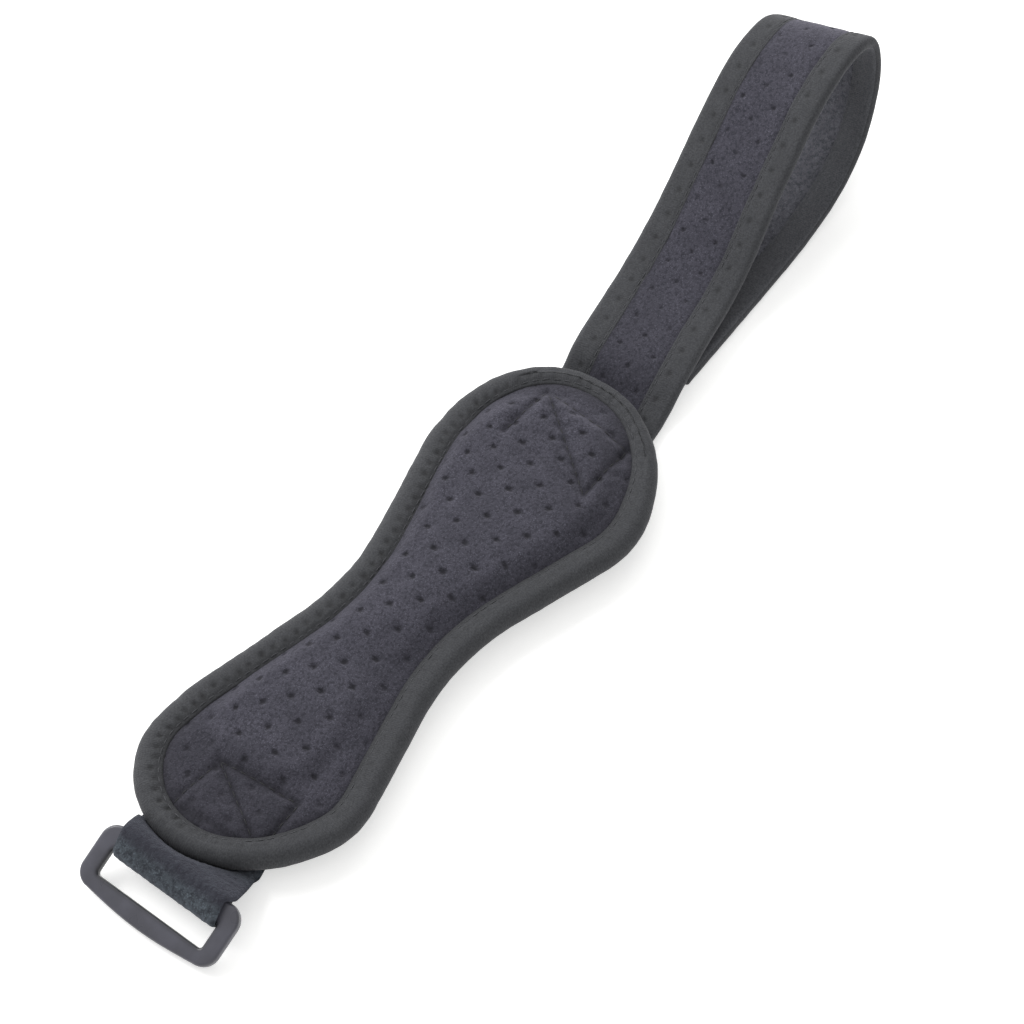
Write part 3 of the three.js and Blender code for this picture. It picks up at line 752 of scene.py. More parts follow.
    def seam(self, step: float) -> np.ndarray:
        """The line where the binding meets the cloth, as rows of x and y."""
        rows = self.outline(step)
        return rows[:, :2] + rows[:, 2:4] * rows[:, 4:5]

    def seam_distance(self, points: np.ndarray) -> np.ndarray:
        """Distance from the seam, more than 0 inside it."""
        return edge_distance(points, self.seam(2.0))

    def crown(self, places: np.ndarray, distance: np.ndarray) -> np.ndarray:
        """Height of the cloth's front: a low swell at the seam and the foam core's step further in.

        Args:
            places: Places in the plan.
            distance: How far inside the seam each one lies.

        Returns:
            One height for each place.
        """
        swell = 1 - (1 - np.clip(distance / self.swell_run, 0, 1)) ** 2
        rise = self.seam_swell * swell + self.core_rise * self.core_share(places)
        return self.edge_thick - self.seam_drop + rise

    def core_share(self, places: np.ndarray) -> np.ndarray:
        """How fully the foam core lies under each place, from 0 to 1."""
        return eased(edge_distance(places, np.array(self.core_edge)), -self.core_slope, self.core_slope)

    def cloth(self, places: np.ndarray) -> np.ndarray:
        """Where each place lies on the cloth, which is stretched a little as it is sewn over the foam.

        Args:
            places: Places in the plan.

        Returns:
            Rows of two distances along the cloth's own rows of holes, with a hole at each whole pitch.
        """
        x, y = places[:, 0] / self.warp_span, places[:, 1] / self.warp_span
        degree = 3
        powers = [(i, j) for i in range(degree + 1) for j in range(degree + 1 - i)]
        terms = np.stack([x**i * y**j for i, j in powers], 1)
        return terms @ np.array(self.cloth_warp) * self.hole_pitch


@dataclass(frozen=True)
class BoxStitch:
    """A sewn box with a cross in it, which holds the tape or strap under the pad."""

    corners: tuple
    pulls: tuple  # how tight each line is, in their order in lines
    shown: float = 0.55  # a line pulled less than this is lost in the nap

    def lines(self) -> list:
        """The sewn lines: the four sides, then the two that cross."""
        a, b, c, d = (np.array(corner, dtype=float) for corner in self.corners)
        return [(a, b), (b, c), (c, d), (d, a), (a, c), (b, d)]

    def draw(self, points: np.ndarray, width: float) -> np.ndarray:
        """How strongly the thread pulls the cloth in at each place of the plan.

        Args:
            points: Places in the plan.
            width: How far each line's pull reaches.

        Returns:
            Values up to 1, highest on the lines that are pulled tightest.
        """
        total = np.zeros(len(points))
        for (start, end), pull in zip(self.lines(), self.pulls):
            way = end - start
            share = np.clip((points - start) @ way / (way @ way), 0, 1)
            reach = np.hypot(*(points - start - share[:, None] * way).T)
            total = np.maximum(total, pull * np.exp(-((reach / width) ** 2)))
        return total


BUCKLE_BOX = BoxStitch(
    ((-73.5, 9.3), (-70.2, -18.6), (-89.5, -18.8), (-93.0, 11.2)), (1.0, 0.8, 0.5, 0.6, 0.9, 0.12)
)
STRAP_BOX = BoxStitch(
    ((71.5, 17.5), (67.8, -16.8), (91.0, -15.6), (92.5, 17.0)), (0.25, 1.0, 0.6, 0.9, 0.15, 1.0)
)


@dataclass
class PadCushion:
    """The padded body with its punched cloth front, swollen by a cloth simulation."""

    wardrobe: Wardrobe
    plan: PadPlan = PadPlan()
    pitch: float = 0.75  # of the finished front
    coarse: float = 2.5  # of the sheet that the simulation swells
    tuck: float = 2.4  # the cloth runs this far in under the binding
    stitch_dent: float = 1.5
    cap: float = 1.4  # the swelling moves no point further
    pressure: float = 4.0
    moments: int = 20  # that the simulation runs for
    pinned_edge: float = 0.6  # the sheet is held this near its seam
    pinned_pull: float = 0.35  # and where its stitches pull harder than this
    slack_run: float = 6.0  # from the seam to where the cloth hangs free
    hole_dent: float = 0.5
    hole_reach: float = 1.4
    hole_rim: float = 1.2  # a hole may start this much nearer the seam than its middle
    edge_run: float = 0.9  # the cloth dips over this distance under the binding
    edge_dip: float = 0.7
    back_level: float = 0.25
    back_edge_level: float = 1.1  # at the rim, inside the binding
    back_edge: float = 1.5

    def grid(self, pitch: float) -> tuple[np.ndarray, np.ndarray]:
        """The even lines of a grid over the whole plan.

        Args:
            pitch: The distance between them.

        Returns:
            The lines' places along x and along y.
        """
        rows = self.plan.outline(2.0)
        low, high = rows[:, :2].min(0) - pitch, rows[:, :2].max(0) + pitch
        return np.arange(low[0], high[0] + pitch, pitch), np.arange(low[1], high[1] + pitch, pitch)

    def sewn_pull(self, points: np.ndarray, width: float) -> np.ndarray:
        """How strongly the two box stitches pull the cloth in at each place."""
        return np.maximum(BUCKLE_BOX.draw(points, width), STRAP_BOX.draw(points, width))

    def swell(self) -> tuple[np.ndarray, np.ndarray, np.ndarray]:
        """Swells a coarse sheet of the front between its seam and its stitches.

        Returns:
            The grid's lines along x and y, and how far each of its points rises.
        """
        xs, ys = self.grid(self.coarse)
        plan = np.stack(np.meshgrid(xs, ys, indexing="ij"), -1).reshape(-1, 2)
        distance = self.plan.seam_distance(plan)
        rise = np.zeros(len(plan))
        height = self.plan.crown(plan, distance) - self.stitch_dent * self.sewn_pull(plan, 2.2)
        kept = distance > -self.coarse
        number = np.cumsum(kept) - 1
        quads = grid_faces(len(xs), len(ys), False, False)
        quads = number[quads[kept[quads].all(1)]]
        start = np.column_stack([plan, height])[kept]
        sheet = Shell(start, quads[:, ::-1]).build("swelling_sheet", [])
        pins = sheet.vertex_groups.new(name="pins")
        sewn = self.sewn_pull(plan[kept], self.coarse) > self.pinned_pull
        held = np.flatnonzero((distance[kept] < self.pinned_edge) | sewn)
        pins.add([int(i) for i in held], 1.0, "REPLACE")
        cloth = sheet.modifiers.new("Cloth", "CLOTH")
        settings = cloth.settings
        settings.vertex_group_mass = "pins"
        settings.quality = 6
        settings.mass = 0.15
        settings.tension_stiffness = 12
        settings.compression_stiffness = 12
        settings.shear_stiffness = 6
        settings.bending_stiffness = 0.4
        settings.use_pressure = True
        settings.uniform_pressure_force = self.pressure
        settings.effector_weights.gravity = 0.0
        scene = bpy.context.scene
        for moment in range(1, self.moments + 1):
            scene.frame_set(moment)
        swollen = sheet.evaluated_get(bpy.context.evaluated_depsgraph_get())
        ends = np.array([tuple(vertex.co) for vertex in swollen.data.vertices]) / MM
        rise[kept] = np.clip(ends[:, 2] - start[:, 2], -self.cap, self.cap)
        log.info("cushion swelling: from %.2f to %.2f mm", rise.min(), rise.max())
        bpy.data.objects.remove(sheet)
        scene.frame_set(1)
        return xs, ys, rise.reshape(len(xs), len(ys))

    def read(self, lines: tuple, plan: np.ndarray) -> np.ndarray:
        """Reads a coarse grid of heights at finer places, evenly between its points.

        Args:
            lines: The grid's lines along x and y, and its heights.
            plan: The finer places.

        Returns:
            One height for each place.
        """
        xs, ys, values = lines
        i = np.clip((plan[:, 0] - xs[0]) / self.coarse, 0, len(xs) - 1.001)
        j = np.clip((plan[:, 1] - ys[0]) / self.coarse, 0, len(ys) - 1.001)
        a, b = i.astype(int), j.astype(int)
        s, t = i - a, j - b
        lower = values[a, b] * (1 - s) + values[a + 1, b] * s
        upper = values[a, b + 1] * (1 - s) + values[a + 1, b + 1] * s
        return lower * (1 - t) + upper * t

    def hole_distance(self, plan: np.ndarray) -> np.ndarray:
        """Distance from each place to the nearest punched hole's middle."""
        pitch = self.plan.hole_pitch
        return np.hypot(*((self.plan.cloth(plan) + pitch / 2) % pitch - pitch / 2).T)

    def relief(self, plan: np.ndarray, distance: np.ndarray, swelling: tuple) -> np.ndarray:
        """Height of the finished front.

        Args:
            plan: Places in the plan.
            distance: How far inside the seam each one lies.
            swelling: The simulated sheet's lines and heights.

        Returns:
            One height for each place.
        """
        line, near, wide = (self.sewn_pull(plan, width) for width in (1.0, 2.6, 4.5))
        slack = np.clip(distance / self.slack_run, 0, 1)
        height = self.plan.crown(plan, distance) + self.read(swelling, plan) * slack
        # Long soft swells, and finer ones, where the cloth is free
        height += slack * (0.22 * ripple(plan, 26, 3) + 0.1 * ripple(plan, 9, 5))
        # Puckers beside the box stitches, and the stitches' own grooves
        height += 0.26 * wide * ripple(plan, 4.2, 11) - self.stitch_dent * (0.5 * near + 0.5 * line)
        dent = self.hole_dent * np.exp(-((self.hole_distance(plan) / self.hole_reach) ** 2))
        height -= np.where(self.holed(distance), dent, 0)
        under = np.clip(-distance / self.edge_run, 0, 1)
        # The cloth runs in under the binding, with a slight groove along the seam
        height -= self.edge_dip * under + 0.12 * np.exp(-(((distance - 0.3) / 0.8) ** 2))
        return height

    def holed(self, distance: np.ndarray) -> np.ndarray:
        """Whether each place lies far enough inside the seam to have holes."""
        return distance > self.plan.hole_margin - self.hole_rim

    def shading(self, plan: np.ndarray, distance: np.ndarray) -> tuple[np.ndarray, np.ndarray]:
        """How much painted shade the cloth takes in its folds and hollows, and how open its holes are.

        Args:
            plan: Places in the plan.
            distance: How far inside the seam each one lies.

        Returns:
            A shade and a share, each with one value for a place.
        """
        line = self.sewn_pull(plan, 1.0)
        core = self.plan.core_share(plan)
        # Painted shade: the dip beside the binding, deeper on the +Y side, and the ground round the foam core
        valley_shade = (0.12 + 0.1 * np.sign(plan[:, 1])) * np.exp(-((distance / 4.5) ** 2)) + 0.12 * (1 - core)
        # More painted shade: the sewn end by the buckle, the tip by the strap and the slope on the -Y side
        valley_shade += 0.36 * (1 - eased(plan[:, 0], -76, -62))
        valley_shade += 0.4 * eased(plan[:, 0], 84, 96) * np.exp(-((distance / 4) ** 2))
        valley_shade += 0.26 * eased(plan[:, 0], 52, 66) * eased(-plan[:, 1], 0, 14)
        # Painted shade along the seam, patchy, and along the box stitches' lines
        seam = (0.25 + 0.15 * ripple(plan, 22, 13)) * np.exp(-(((distance + 0.1) / 0.9) ** 2))
        shade = np.clip(0.6 * line + valley_shade + seam, 0, 1)
        # Holes stand open on the core and half close off it, some more than others
        wander = 0.3 * (1 - 0.7 * core) * ripple(plan, 24, 17)
        punched = self.holed(distance) * np.clip(0.5 + 0.45 * core + wander, 0.1, 1)
        return shade, punched

    def build(self) -> bpy.types.Object:
        """Makes the cushion: the swollen front, a wall hidden in the binding and the lined back.

        Returns:
            The finished cushion.
        """
        swelling = self.swell()
        xs, ys = self.grid(self.pitch)
        plan = np.stack(np.meshgrid(xs, ys, indexing="ij"), -1).reshape(-1, 2)
        distance = self.plan.seam_distance(plan)
        kept = distance > -self.tuck
        number = np.cumsum(kept) - 1
        quads = grid_faces(len(xs), len(ys), False, False)
        quads = number[quads[kept[quads].all(1)]]
        plan, distance = plan[kept], distance[kept]
        shade, punched = self.shading(plan, distance)
        front = np.column_stack([plan, self.relief(plan, distance, swelling)])
        level = np.where(distance < self.back_edge, self.back_edge_level, self.back_level)
        back = np.column_stack([plan, level])
        count = len(front)
        edges = np.concatenate([quads[:, [k, (k + 1) % 4]] for k in range(4)])
        ordered = np.sort(edges, 1)
        _, first, uses = np.unique(ordered, axis=0, return_index=True, return_counts=True)
        rim = edges[first[uses == 1]]
        walls = np.column_stack([rim[:, 0], rim[:, 0] + count, rim[:, 1] + count, rim[:, 1]])
        faces = np.concatenate([quads, quads[:, ::-1] + count, walls])
        second = np.concatenate([np.zeros(len(quads)), np.ones(len(quads) + len(walls))])
        shell = Shell(
            np.concatenate([front, back]),
            faces,
            cloth=np.tile(self.plan.cloth(plan), (2, 1)),
            shade=np.concatenate([shade, np.zeros(count)]),
            punched=np.concatenate([punched, np.zeros(count)]),
            second=second,
        )
        made = facing_out(shell.build("padded_cushion", [self.wardrobe.pad_cloth, self.wardrobe.lining_painted_light]))
        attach(made, "root")
        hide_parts("pad_cushion")
        return made


@dataclass
class PadBinding:
    """The tape bound round the pad's edge, with its needle dimples and its row of stitches."""

    wardrobe: Wardrobe
    plan: PadPlan = PadPlan()
    step: float = 0.7
    dimple_pitch: float = 4.5
    dimple_share: float = 0.66  # of the band, from the outer edge
    dimple_radius: float = 1.05
    dimple_depth: float = 0.55
    stitch_inset: float = 1.3  # from the inner edge to the sewn row
    groove: float = 0.15  # its depth along that row
    thread_sink: float = 0.12

    def section(self, band: np.ndarray) -> tuple[np.ndarray, np.ndarray]:
        """The tape's outer face, cut across.

        Args:
            band: The binding's width at each station.

        Returns:
            Depth inward and height, each with a row for a station and a column for a point.
        """
        thick = self.plan.edge_thick
        half = thick / 2
        sweep = np.linspace(0, math.pi, 15)
        rim = np.stack([half * (1 - np.sin(sweep)), half - half * np.cos(sweep)], 1)
        inner = np.array([
            (0.5, -0.02), (0.56, -0.03), (0.62, -0.06), (0.68, -0.12), (0.74, -0.24), (0.8, -0.42),
            (0.85, -0.6), (0.9, -0.8), (0.94, -0.95), (0.97, -1.1), (1.0, -1.3), (1.015, -1.65), (1.01, -2.3),
        ])
        front_depth = band[:, None] * inner[None, :, 0]
        front_height = np.tile(thick + inner[:, 1] * self.plan.seam_drop / 1.3, (len(band), 1))
        rim_depth = np.tile(rim[:, 0], (len(band), 1))
        rim_height = np.tile(rim[:, 1], (len(band), 1))
        back = np.array([(1.0, 1.2), (1.0, 0.35), (0.97, 0.0), (0.75, 0.0), (0.6, 0.0)])
        back_depth = band[:, None] * back[None, :, 0]
        back_height = np.tile(back[:, 1], (len(band), 1))
        depth = np.concatenate([back_depth, rim_depth, front_depth], 1)
        height = np.concatenate([back_height, rim_height, front_height], 1)
        return depth, height

    def build(self) -> bpy.types.Object:
        """Makes the binding as one closed sweep round the outline.

        Returns:
            The finished binding.
        """
        rows = self.plan.outline(self.step)
        place, inward, band, along = rows[:, :2], rows[:, 2:4], rows[:, 4], rows[:, 5]
        depth, height = self.section(band)
        perimeter = along[-1] + along[1]
        count = round(perimeter / self.dimple_pitch)
        pitch = perimeter / count
        random = np.random.default_rng(8)
        number = ((along + pitch / 2) // pitch).astype(int) % count
        front = height > self.plan.edge_thick / 2
        offset = (along + pitch / 2) % pitch - pitch / 2 + random.uniform(-0.4, 0.4, count)[number]
        aside = depth - self.dimple_share * band[:, None] + random.uniform(-0.7, 0.5, count)[number, None]
        reach = np.hypot(offset[:, None], aside) / random.uniform(0.8, 1.1, count)[number, None]
        # How strong each dimple is: deeper and darker toward +Y, fainter at the strap's tip, and a little
        # different for each
        tight = 0.25 + 0.75 * eased(place[:, 1], -12, 12) * (1 - 0.7 * eased(place[:, 0], 82, 98))
        tight *= random.uniform(0.55, 1.15, count)[number]
        dimple = np.where(front, tight[:, None] * np.exp(-((reach / self.dimple_radius) ** 2)), 0)
        sewn = depth - (band[:, None] - self.stitch_inset)
        groove = np.where(front, np.exp(-((sewn / 0.55) ** 2)), 0)
        flat = np.column_stack([along, along * 0])
        wave = 0.12 * ripple(flat, 14, 21)[:, None] + 0.08 * ripple(flat, 5.5, 22)[:, None]
        lifted = height + np.where(front, wave - self.dimple_depth * dimple - self.groove * groove, 0)
        moved = depth - 0.5 * wave * (depth < self.plan.edge_thick / 2)
        flat_places = place[:, None, :] + inward[:, None, :] * moved[..., None]
        points = np.concatenate([flat_places, lifted[..., None]], 2)
        across = np.cumsum(np.hypot(np.diff(depth), np.diff(height)), 1)
        width = np.concatenate([np.zeros((len(rows), 1)), across], 1)
        cloth = np.stack([np.broadcast_to(along[:, None], width.shape), width], -1)
        # Painted shade: in the dimples, along the sewn groove and the inner lip, over the inner slope away
        # from the strap's tip, and down the lower half toward the floor
        lip = np.where(front, np.exp(-(((band[:, None] - depth) / 0.45) ** 2)), 0)
        low = np.clip(1 - height / self.plan.edge_thick, 0, 1)
        inner = np.exp(-(((band[:, None] - depth) / 2.4) ** 2)) * (1 - eased(place[:, :1], 75, 98))
        shade = np.clip(0.85 * dimple + 0.08 * groove + 0.3 * lip + 0.26 * front * inner + 0.45 * low, 0, 1)
        faces = grid_faces(*depth.shape, True, True)
        shell = Shell(points.reshape(-1, 3), faces, cloth=cloth.reshape(-1, 2), shade=shade.ravel())
        made = facing_out(shell.build("edge_binding", [self.wardrobe.binding]))
        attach(made, "root")
        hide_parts("pad_binding")
        return made

    def stitch_line(self) -> tuple[np.ndarray, np.ndarray]:
        """The sewn row on the front.

        Returns:
            Its places, and the way up at each.
        """
        rows = self.plan.outline(0.5)
        depth = rows[:, 4:5] - self.stitch_inset
        flat = rows[:, :2] + rows[:, 2:4] * depth
        share = 1 - self.stitch_inset / rows[:, 4]
        dip = np.interp(share, (0.74, 0.8, 0.85, 0.9, 1), (0.24, 0.42, 0.6, 0.8, 1.3))
        height = self.plan.edge_thick - dip - self.thread_sink
        line = np.column_stack([flat, height])
        return np.concatenate([line, line[:1]]), np.tile([0.0, 0.0, 1.0], (len(line) + 1, 1))


# The strap


@dataclass(frozen=True)
class StrapPath:
    """The strap's route and section, with the same sizes and shares as its solids.

    Only the holes differ: they stand closer and steeper here, as the photograph shows. Each row of route
    holds reach, stack, rise, drift, swing and bank, as they stand in the part's source. They come from a
    fit to the strap's edges in the photograph.
    """

    pad_end: float = PadPlan.spacing / 2 + PadPlan.strap_radius * PadPlan.strap_shape[3]  # the lobe's tip
    width: float = 38.0
    thick: float = 4.2
    band: float = 9.5
    swell: float = 1.9
    surface: float = -4.5
    patch_thick: float = 2.0
    gap: float = 0.3
    sewn_length: float = 45.0
    sewn_turn: float = 0.145
    loop_reach: float = 138.2
    loop_rise: float = 38.0
    loop_drift: float = 23.3
    punched: float = 160.0
    hole_pitch: float = 8.3
    hole_turn: float = -44.0
    hole_phase: tuple = (0.207, 0.324)  # of a pitch, at the middle of the punched length
    hole_margin: float = 1.9
    route: tuple = (
        (-0.01, 0.0, 0.0, 0.155, -0.145, 0.0),
        (0.082, 0.84, 0.0, 0.242, -0.23, 0.07),
        (0.201, 1.0, 0.008, 0.377, -0.16, 0.0),
        (0.325, 1.0, 0.02, 0.521, -0.16, 0.0),
        (0.437, 1.0, 0.143, 0.636, -0.11, -0.04),
        (0.553, 1.0, 0.418, 0.748, -0.04, -0.098),
        (0.665, 1.0, 0.692, 0.846, -0.03, -0.11),
        (0.754, 1.0, 0.887, 0.919, -0.04, -0.15),
        (0.844, 1.0, 0.996, 0.972, -0.1, -0.2),
        (0.93, 1.0, 1.0, 1.0, -0.07, -0.25),
        (0.985, 1.0, 0.876, 0.982, -0.09, -0.34),
        (1.0, 1.0, 0.653, 0.903, -0.03, -0.26),
        (0.966, 1.0, 0.358, 0.783, 0.0, -0.235),
        (0.884, 0.5, 0.149, 0.656, -0.02, -0.19),
        (0.763, 0.15, 0.032, 0.562, -0.04, -0.09),
        (0.585, 0.0, 0.0, 0.481, -0.06, 0.0),
        (0.366, 0.0, 0.0, 0.405, -0.06, 0.0),
        (0.147, 0.0, 0.0, 0.332, -0.06, 0.0),
    )

    def frames(self, step: float) -> "StrapFrames":
        """The strap's middle line and its own axes at even steps.

        Args:
            step: The wanted distance between stations.

        Returns:
            The stations, from the sewn end to the free end.
        """
        table = np.array(self.route)
        level = self.surface + self.thick / 2
        climb = self.thick + self.patch_thick + 2 * self.gap
        rows = np.column_stack([
            self.pad_end + table[:, 0] * self.loop_reach,
            table[:, 3] * self.loop_drift,
            level + table[:, 1] * climb + table[:, 2] * self.loop_rise,
            table[:, 4],
            table[:, 5],
        ])
        sewn = []
        for share in (1.0, 0.5):
            row = rows[0].copy()
            row[0] = self.pad_end - share * self.sewn_length
            row[1] -= share * self.sewn_length * self.sewn_turn
            sewn.append(row)
        rows = np.concatenate([sewn, rows])
        before, after = 2 * rows[0] - rows[1], 2 * rows[-1] - rows[-2]
        rows = np.concatenate([[before], rows, [after]])
        place = np.linspace(1, len(rows) - 2, 4000)
        fine = smooth(rows, place)
        fine[:, 2] = np.maximum(fine[:, 2], level)
        lengths = np.concatenate([[0], np.cumsum(np.linalg.norm(np.diff(fine[:, :3], axis=0), axis=1))])
        count = int(lengths[-1] / step)
        wanted = np.linspace(0, lengths[-1], count + 1)
        even = np.column_stack([np.interp(wanted, lengths, fine[:, k]) for k in range(5)])
        along = np.gradient(even[:, :3], axis=0)
        along /= np.linalg.norm(along, axis=1)[:, None]
        across = np.column_stack([even[:, 3], np.ones(len(even)), even[:, 4]])
        across -= along * (across * along).sum(1)[:, None]
        across /= np.linalg.norm(across, axis=1)[:, None]
        return StrapFrames(even[:, :3], across, np.cross(along, across), wanted)


@dataclass(frozen=True)
class StrapFrames:
    """Stations of the strap: the middle, the ways across and out of the front, and the length so far."""

    middle: np.ndarray
    across: np.ndarray
    out: np.ndarray
    length: np.ndarray

    def at(self, lengths: np.ndarray) -> "StrapFrames":
        """The stations at the given lengths.

        Args:
            lengths: Distances along the strap from its sewn end.

        Returns:
            One station for each length.
        """
        read = [
            np.column_stack([np.interp(lengths, self.length, rows[:, k]) for k in range(3)])
            for rows in (self.middle, self.across, self.out)
        ]
        return StrapFrames(*read, lengths)

    def place(self, side: np.ndarray, up: np.ndarray) -> np.ndarray:
        """Points set off from the middle line.

        Args:
            side: Distances across, with a row for a station and a column for a point.
            up: Distances out of the front, likewise.

        Returns:
            The points, with x, y and z last.
        """
        return (
            self.middle[:, None, :]
            + self.across[:, None, :] * side[..., None]
            + self.out[:, None, :] * up[..., None]
        )


def swept(points: np.ndarray) -> list:
    """Faces of a closed tube with flat ends.

    Args:
        points: The tube's points, with a row for a station and a column for a point round it.

    Returns:
        The quads along the tube and the two end faces.
    """
    rows, columns = points.shape[:2]
    faces = grid_faces(rows, columns, False, True).tolist()
    faces.append(list(range(columns))[::-1])
    faces.append([(rows - 1) * columns + k for k in range(columns)])
    return faces


@dataclass
class StrapPanel:
    """The strap's punched middle, with its brushed front and its napped back."""

    wardrobe: Wardrobe
    path: StrapPath = StrapPath()
    step: float = 0.75
    columns: int = 32  # points across each face
    tuck: float = 1.6  # the panel runs this far in under its bindings
    hole_dent: float = 0.55
    hole_reach: float = 0.9
    hole_rim: float = 1.2  # a hole may start this much nearer the seam than its middle
    beyond: float = 40.0  # the holes go on this far past the solid's punched length

    def build(self) -> bpy.types.Object:
        """Makes the panel as one closed sweep.

        Returns:
            The finished panel.
        """
        path = self.path
        frames = path.frames(self.step)
        seam = path.width / 2 - path.band
        reach = seam + self.tuck
        front_side = np.linspace(reach, -reach, self.columns)
        sides = np.concatenate([front_side, front_side[::-1]])
        upper = np.repeat([1.0, -1.0], self.columns)
        edge = np.clip((seam - np.abs(sides)) / 2.5, -0.4, 1)
        rows = len(frames.length)
        side = np.tile(sides, (rows, 1))
        along = np.broadcast_to(frames.length[:, None], side.shape)
        flat = np.stack([along, side], -1).reshape(-1, 2)
        swell = (path.swell + 0.12) * np.ones_like(side) * (1 - 0.1 * (1 - edge) ** 2)[None, :]
        soft = (0.16 * ripple(flat, 17, 31) + 0.07 * ripple(flat, 6, 32)).reshape(side.shape)
        turn = math.radians(-path.hole_turn)
        start = path.sewn_length + path.punched / 2
        c, s = math.cos(turn), math.sin(turn)
        u, v = along - start, side
        pitch = path.hole_pitch
        cloth = np.stack([u * c - v * s, u * s + v * c], -1) - pitch * np.array(path.hole_phase)
        cells = np.moveaxis((cloth + pitch / 2) % pitch - pitch / 2, -1, 0)
        hole = np.exp(-((np.hypot(*cells) / self.hole_reach) ** 2))
        between = np.abs(side) < seam - path.hole_margin + self.hole_rim
        inside = (upper[None, :] > 0) & between & (np.abs(u) < path.punched / 2 + self.beyond)
        punched = inside * np.clip(0.68 + 0.3 * ripple(flat, 30, 33).reshape(side.shape), 0.25, 1)
        up = upper[None, :] * swell + soft * (edge > 0)[None, :] - self.hole_dent * hole * punched
        points = frames.place(side, up)
        # Painted shade along both seams, deeper on the left, and over the length near the pad
        shade = np.where(side > 0, 0.4, 0.25) * np.exp(-(((np.abs(side) - seam) / 0.6) ** 2))
        shade = shade + 0.22 * (1 - eased(along, 62, 105))
        faces = swept(points)
        columns = points.shape[1]
        back = np.zeros(len(faces))
        back[: (rows - 1) * columns] = np.tile(np.arange(columns) >= self.columns - 1, rows - 1)
        shell = Shell(
            points.reshape(-1, 3),
            faces,
            cloth=cloth.reshape(-1, 2),
            shade=shade.ravel(),
            punched=punched.ravel(),
            second=back,
        )
        made = facing_out(shell.build("punched_strap", [self.wardrobe.strap_cloth, self.wardrobe.lining_painted_light]))
        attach(made, "root")
        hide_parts("strap_panel")
        return made


@dataclass
class StrapBinding:
    """One of the two tapes bound round the strap's long edges."""

    wardrobe: Wardrobe
    side: Side
    path: StrapPath = StrapPath()
    step: float = 0.75
    dimple_pitch: float = 8.7
    dimple_share: float = 0.6  # of the band, from the outer edge
    dimple_radius: float = 0.9
    dimple_depth: float = 0.4
    stitch_inset: float = 1.2
    groove: float = 0.15
    thread_sink: float = 0.22
    face_share: float = 0.3  # a face starts this far from the middle, as a share of the thickness

    def half_section(self) -> np.ndarray:
        """The tape's front half, cut across.

        Returns:
            Depth from the strap's edge and height above its middle, from the fold to the inner lip.
        """
        half = self.path.thick / 2
        sweep = np.linspace(0, math.pi / 2, 7)
        rim = np.stack([half * (1 - np.cos(sweep)), half * np.sin(sweep)], 1)
        band = self.path.band
        face = np.array([
            (0.3, 0.0), (0.4, 0.01), (0.48, 0.02), (0.54, 0.02), (0.6, 0.01), (0.66, 0.0), (0.72, -0.02),
            (0.78, -0.05), (0.84, -0.08), (0.88, -0.1), (0.92, -0.11), (0.96, -0.16), (1.0, -0.4),
            (1.0, -0.9),
        ])
        flat = np.stack([face[:, 0] * band, half + face[:, 1]], 1)
        return np.concatenate([rim, flat])

    def build(self) -> bpy.types.Object:
        """Makes the tape as one closed sweep.

        Returns:
            The finished tape.
        """
        frames = self.path.frames(self.step)
        half = self.half_section()
        depth = np.concatenate([half[::-1, 0], half[1:, 0]])
        height = np.concatenate([half[::-1, 1], -half[1:, 1]])
        rows = len(frames.length)
        depths, heights = np.tile(depth, (rows, 1)), np.tile(height, (rows, 1))
        flat_from = self.path.thick * self.face_share
        front = height > flat_from
        offset = (frames.length + self.dimple_pitch / 2) % self.dimple_pitch - self.dimple_pitch / 2
        reach = np.hypot(offset[:, None], depths - self.dimple_share * self.path.band)
        dimple = np.where(front, np.exp(-((reach / self.dimple_radius) ** 2)), 0)
        sewn = depths - (self.path.band - self.stitch_inset)
        groove = np.where(np.abs(height) > flat_from, np.exp(-((sewn / 0.5) ** 2)), 0)
        line = np.column_stack([frames.length, frames.length * 0])
        seed = 40 + self.side.value
        wave = (0.1 * ripple(line, 15, seed) + 0.06 * ripple(line, 6, seed + 5))[:, None]
        facing = np.sign(heights)
        sunk = self.dimple_depth * dimple + self.groove * groove
        lifted = heights - facing * sunk + wave * (depths > 1)
        edge = self.path.width / 2 - depths + 0.6 * wave * (depths < 1.5)
        points = frames.place(self.side.value * edge, lifted)
        # Painted shade in the dimples, along the groove and at the inner lip, the lip deeper on the left
        lip = np.exp(-(((self.path.band - depths) / 0.4) ** 2))
        seam = 0.35 if self.side is Side.LEFT else 0.2
        shade = np.clip(0.7 * dimple + 0.12 * groove + seam * lip, 0, 1)
        width = np.concatenate([[0], np.cumsum(np.hypot(np.diff(depth), np.diff(height)))])
        along = np.broadcast_to(frames.length[:, None], depths.shape)
        cloth = np.stack([along, np.tile(width, (rows, 1))], -1)
        faces = swept(points)
        # The back faces take the lighter copy of the binding, as painted light
        back = np.zeros(len(faces))
        back[: (rows - 1) * len(depth)] = np.tile(height < -flat_from, rows - 1)
        shell = Shell(points.reshape(-1, 3), faces, cloth.reshape(-1, 2), shade.ravel(), second=back)
        name = f"strap_edge_{self.side.name.lower()}"
        made = facing_out(shell.build(name, [self.wardrobe.binding, self.wardrobe.binding_back_painted_light]))
        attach(made, "root")
        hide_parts(f"strap_binding_{self.side.name.lower()}")
        return made

    def stitch_line(self) -> tuple[np.ndarray, np.ndarray]:
        """The sewn row on the front.

        Returns:
            Its places, and the way out at each.
        """
        frames = self.path.frames(0.5)
        across = self.side.value * (self.path.width / 2 - self.path.band + self.stitch_inset)
        up = self.path.thick / 2 - self.thread_sink
        rows = len(frames.length)
        points = frames.place(np.full((rows, 1), across), np.full((rows, 1), up))[:, 0]
        return points, frames.out


